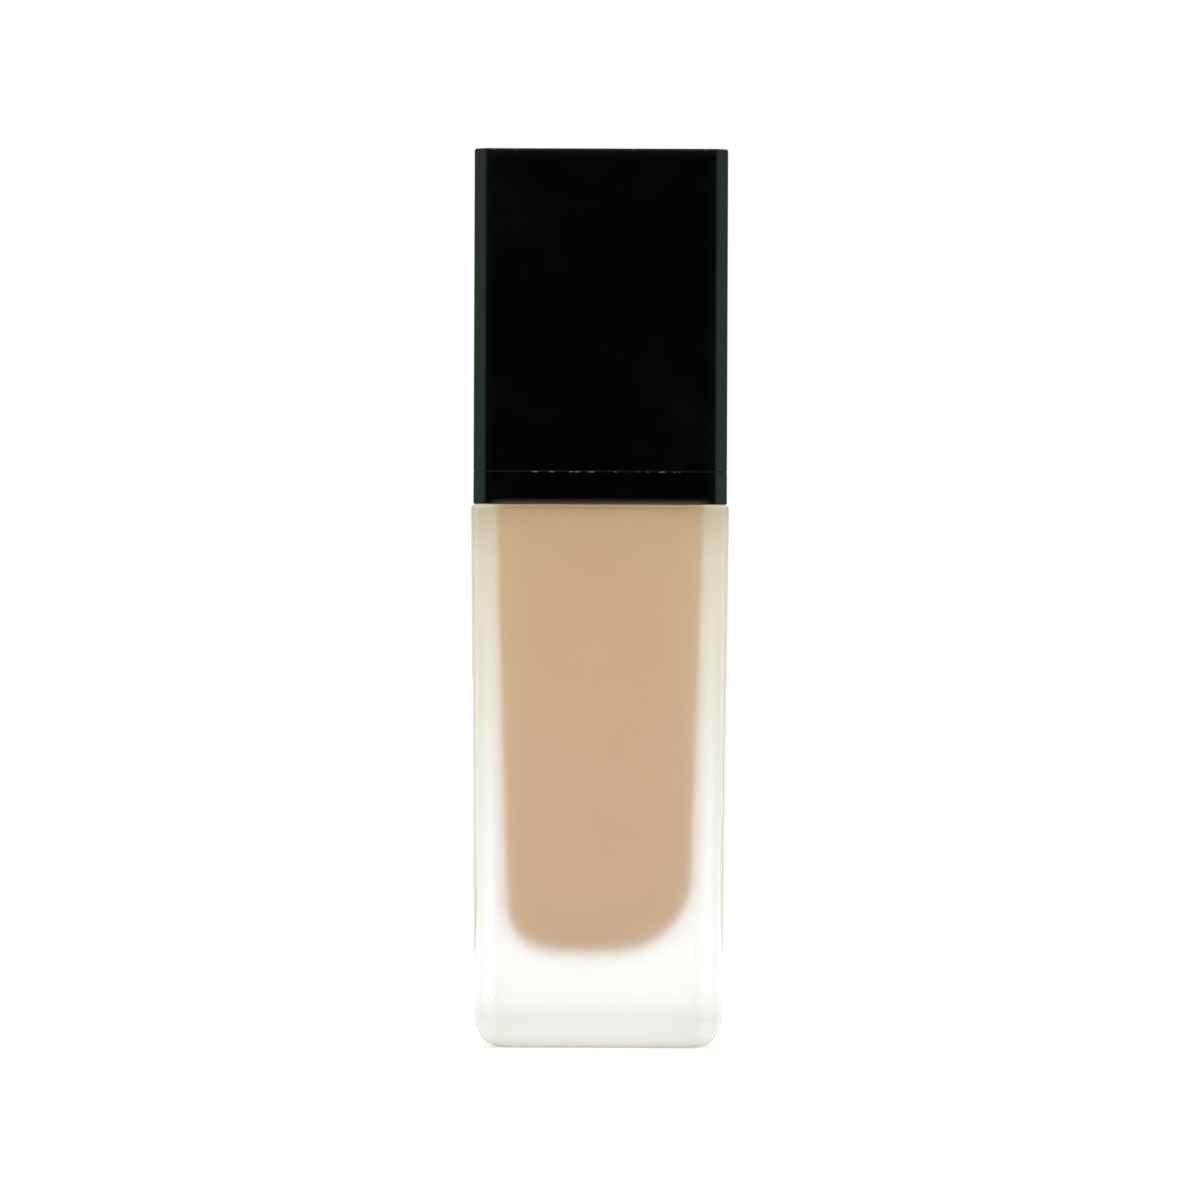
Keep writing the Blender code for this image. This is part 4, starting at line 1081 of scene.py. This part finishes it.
linerPiece = overcapLiner()
ribs = {
    "Count": 4, "Radius": 13.35 * mm, "Middle": 80.15 * mm, "Height": 14.4 * mm, "Width": 0.8 * mm,
    "Depth": 1.8 * mm, "Start": 0.0,
}
applyTree(linerPiece, ribRow, ribs, "satin")
cornerRibs = {**ribs, "Radius": 14.5 * mm, "Depth": 4.1 * mm, "Start": math.radians(45)}
applyTree(linerPiece, ribRow, cornerRibs, "satin")
settle(linerPiece, "overcap", "overcap_liner", "satin")
print("collar and overcap ready")

studio = dict(
    floorSize=8.0, floorDrop=0.02, floorColor=(0.8, 0.8, 0.79), dustColor=(0.78, 0.78, 0.77),
    dustSize=40.0, noiseMask=(0.99, 1.0), floorGlow=0.42, worldLight=1.12,
    lens=400.0, distance=1.67, roll=-0.22, slide=0.03, aim=55.66,
    flagSize=3.0, flagDistance=3.4, cardStart=0.12, cardHeight=0.001, cardColor=(0.002, 0.002, 0.002),
)


def seenDirectly(tree):
    # 1 for rays that show the background: straight, mirrored, or through the glass
    path = addNode(tree, "ShaderNodeLightPath").outputs
    most = calc(tree, "MAXIMUM", path["Is Camera Ray"], path["Is Transmission Ray"])
    return calc(tree, "MAXIMUM", most, path["Is Glossy Ray"])


def sheet(name, corners, finish):
    mesh = bpy.data.meshes.new(name)
    mesh.from_pydata(corners, [], [(0, 1, 2, 3)])
    mesh.materials.append(finish.material)
    return newObject(name, mesh)


def paleFloor():
    finish = Finish("paleFloor", studio["floorColor"], Roughness=0.9, Specular_IOR_Level=0.1)
    tree = finish.tree
    finish.set("Emission Color", (1.0, 1.0, 1.0, 1.0))
    finish.set("Emission Strength", times(tree, seenDirectly(tree), studio["floorGlow"]))
    noiseMask = remap(tree, finish.noise(studio["dustSize"]), *noiseSpan, *studio["noiseMask"])
    finish.set("Base Color", blendColors(tree, noiseMask, studio["dustColor"], studio["floorColor"]))
    size = studio["floorSize"]
    corners = [(-size, -size, 0), (size, -size, 0), (size, size, 0), (-size, size, 0)]
    floor = sheet("paleFloor", corners, finish)
    floor.location.z = -studio["floorDrop"] * mm


def studioWorld():
    world = bpy.data.worlds.new("lightTent")
    world.use_nodes = True
    scene.world = world
    tree = world.node_tree
    back = tree.nodes["Background"]
    back.inputs["Color"].default_value = (1.0, 1.0, 1.0, 1.0)
    strength = remap(tree, seenDirectly(tree), 0.0, 1.0, studio["worldLight"], 1.0)
    wire(tree, strength, back.inputs["Strength"])


def blackCard(name, corners):
    # card that only gloss sees, so the black faces stay deep
    flag = sheet(name, corners, Finish(name, studio["cardColor"], Roughness=0.9, Specular_IOR_Level=0.0))
    for kind in ("camera", "diffuse", "transmission", "shadow"):
        setattr(flag, "visible_" + kind, False)


def frontCards():
    size, near, far = studio["flagSize"] / 2, -studio["cardStart"], -studio["flagDistance"]
    low = studio["cardHeight"]
    blackCard("frontFlag", [(-size, far, -size), (size, far, -size), (size, far, size), (-size, far, size)])
    blackCard("floorCard", [(-size, far, low), (size, far, low), (size, near, low), (-size, near, low)])


def studioCamera():
    camera = bpy.data.cameras.new("studioCamera")
    camera.lens = studio["lens"]
    camera.clip_start = 0.05
    camera.clip_end = 50.0
    obj = newObject("studioCamera", camera)
    obj.location = (studio["slide"] * mm, -studio["distance"], studio["aim"] * mm)
    obj.rotation_euler = (math.radians(90), math.radians(studio["roll"]), 0.0)
    scene.camera = obj


paleFloor()
studioWorld()
frontCards()
studioCamera()
scene.view_settings.view_transform = "Standard"
print("studio ready")
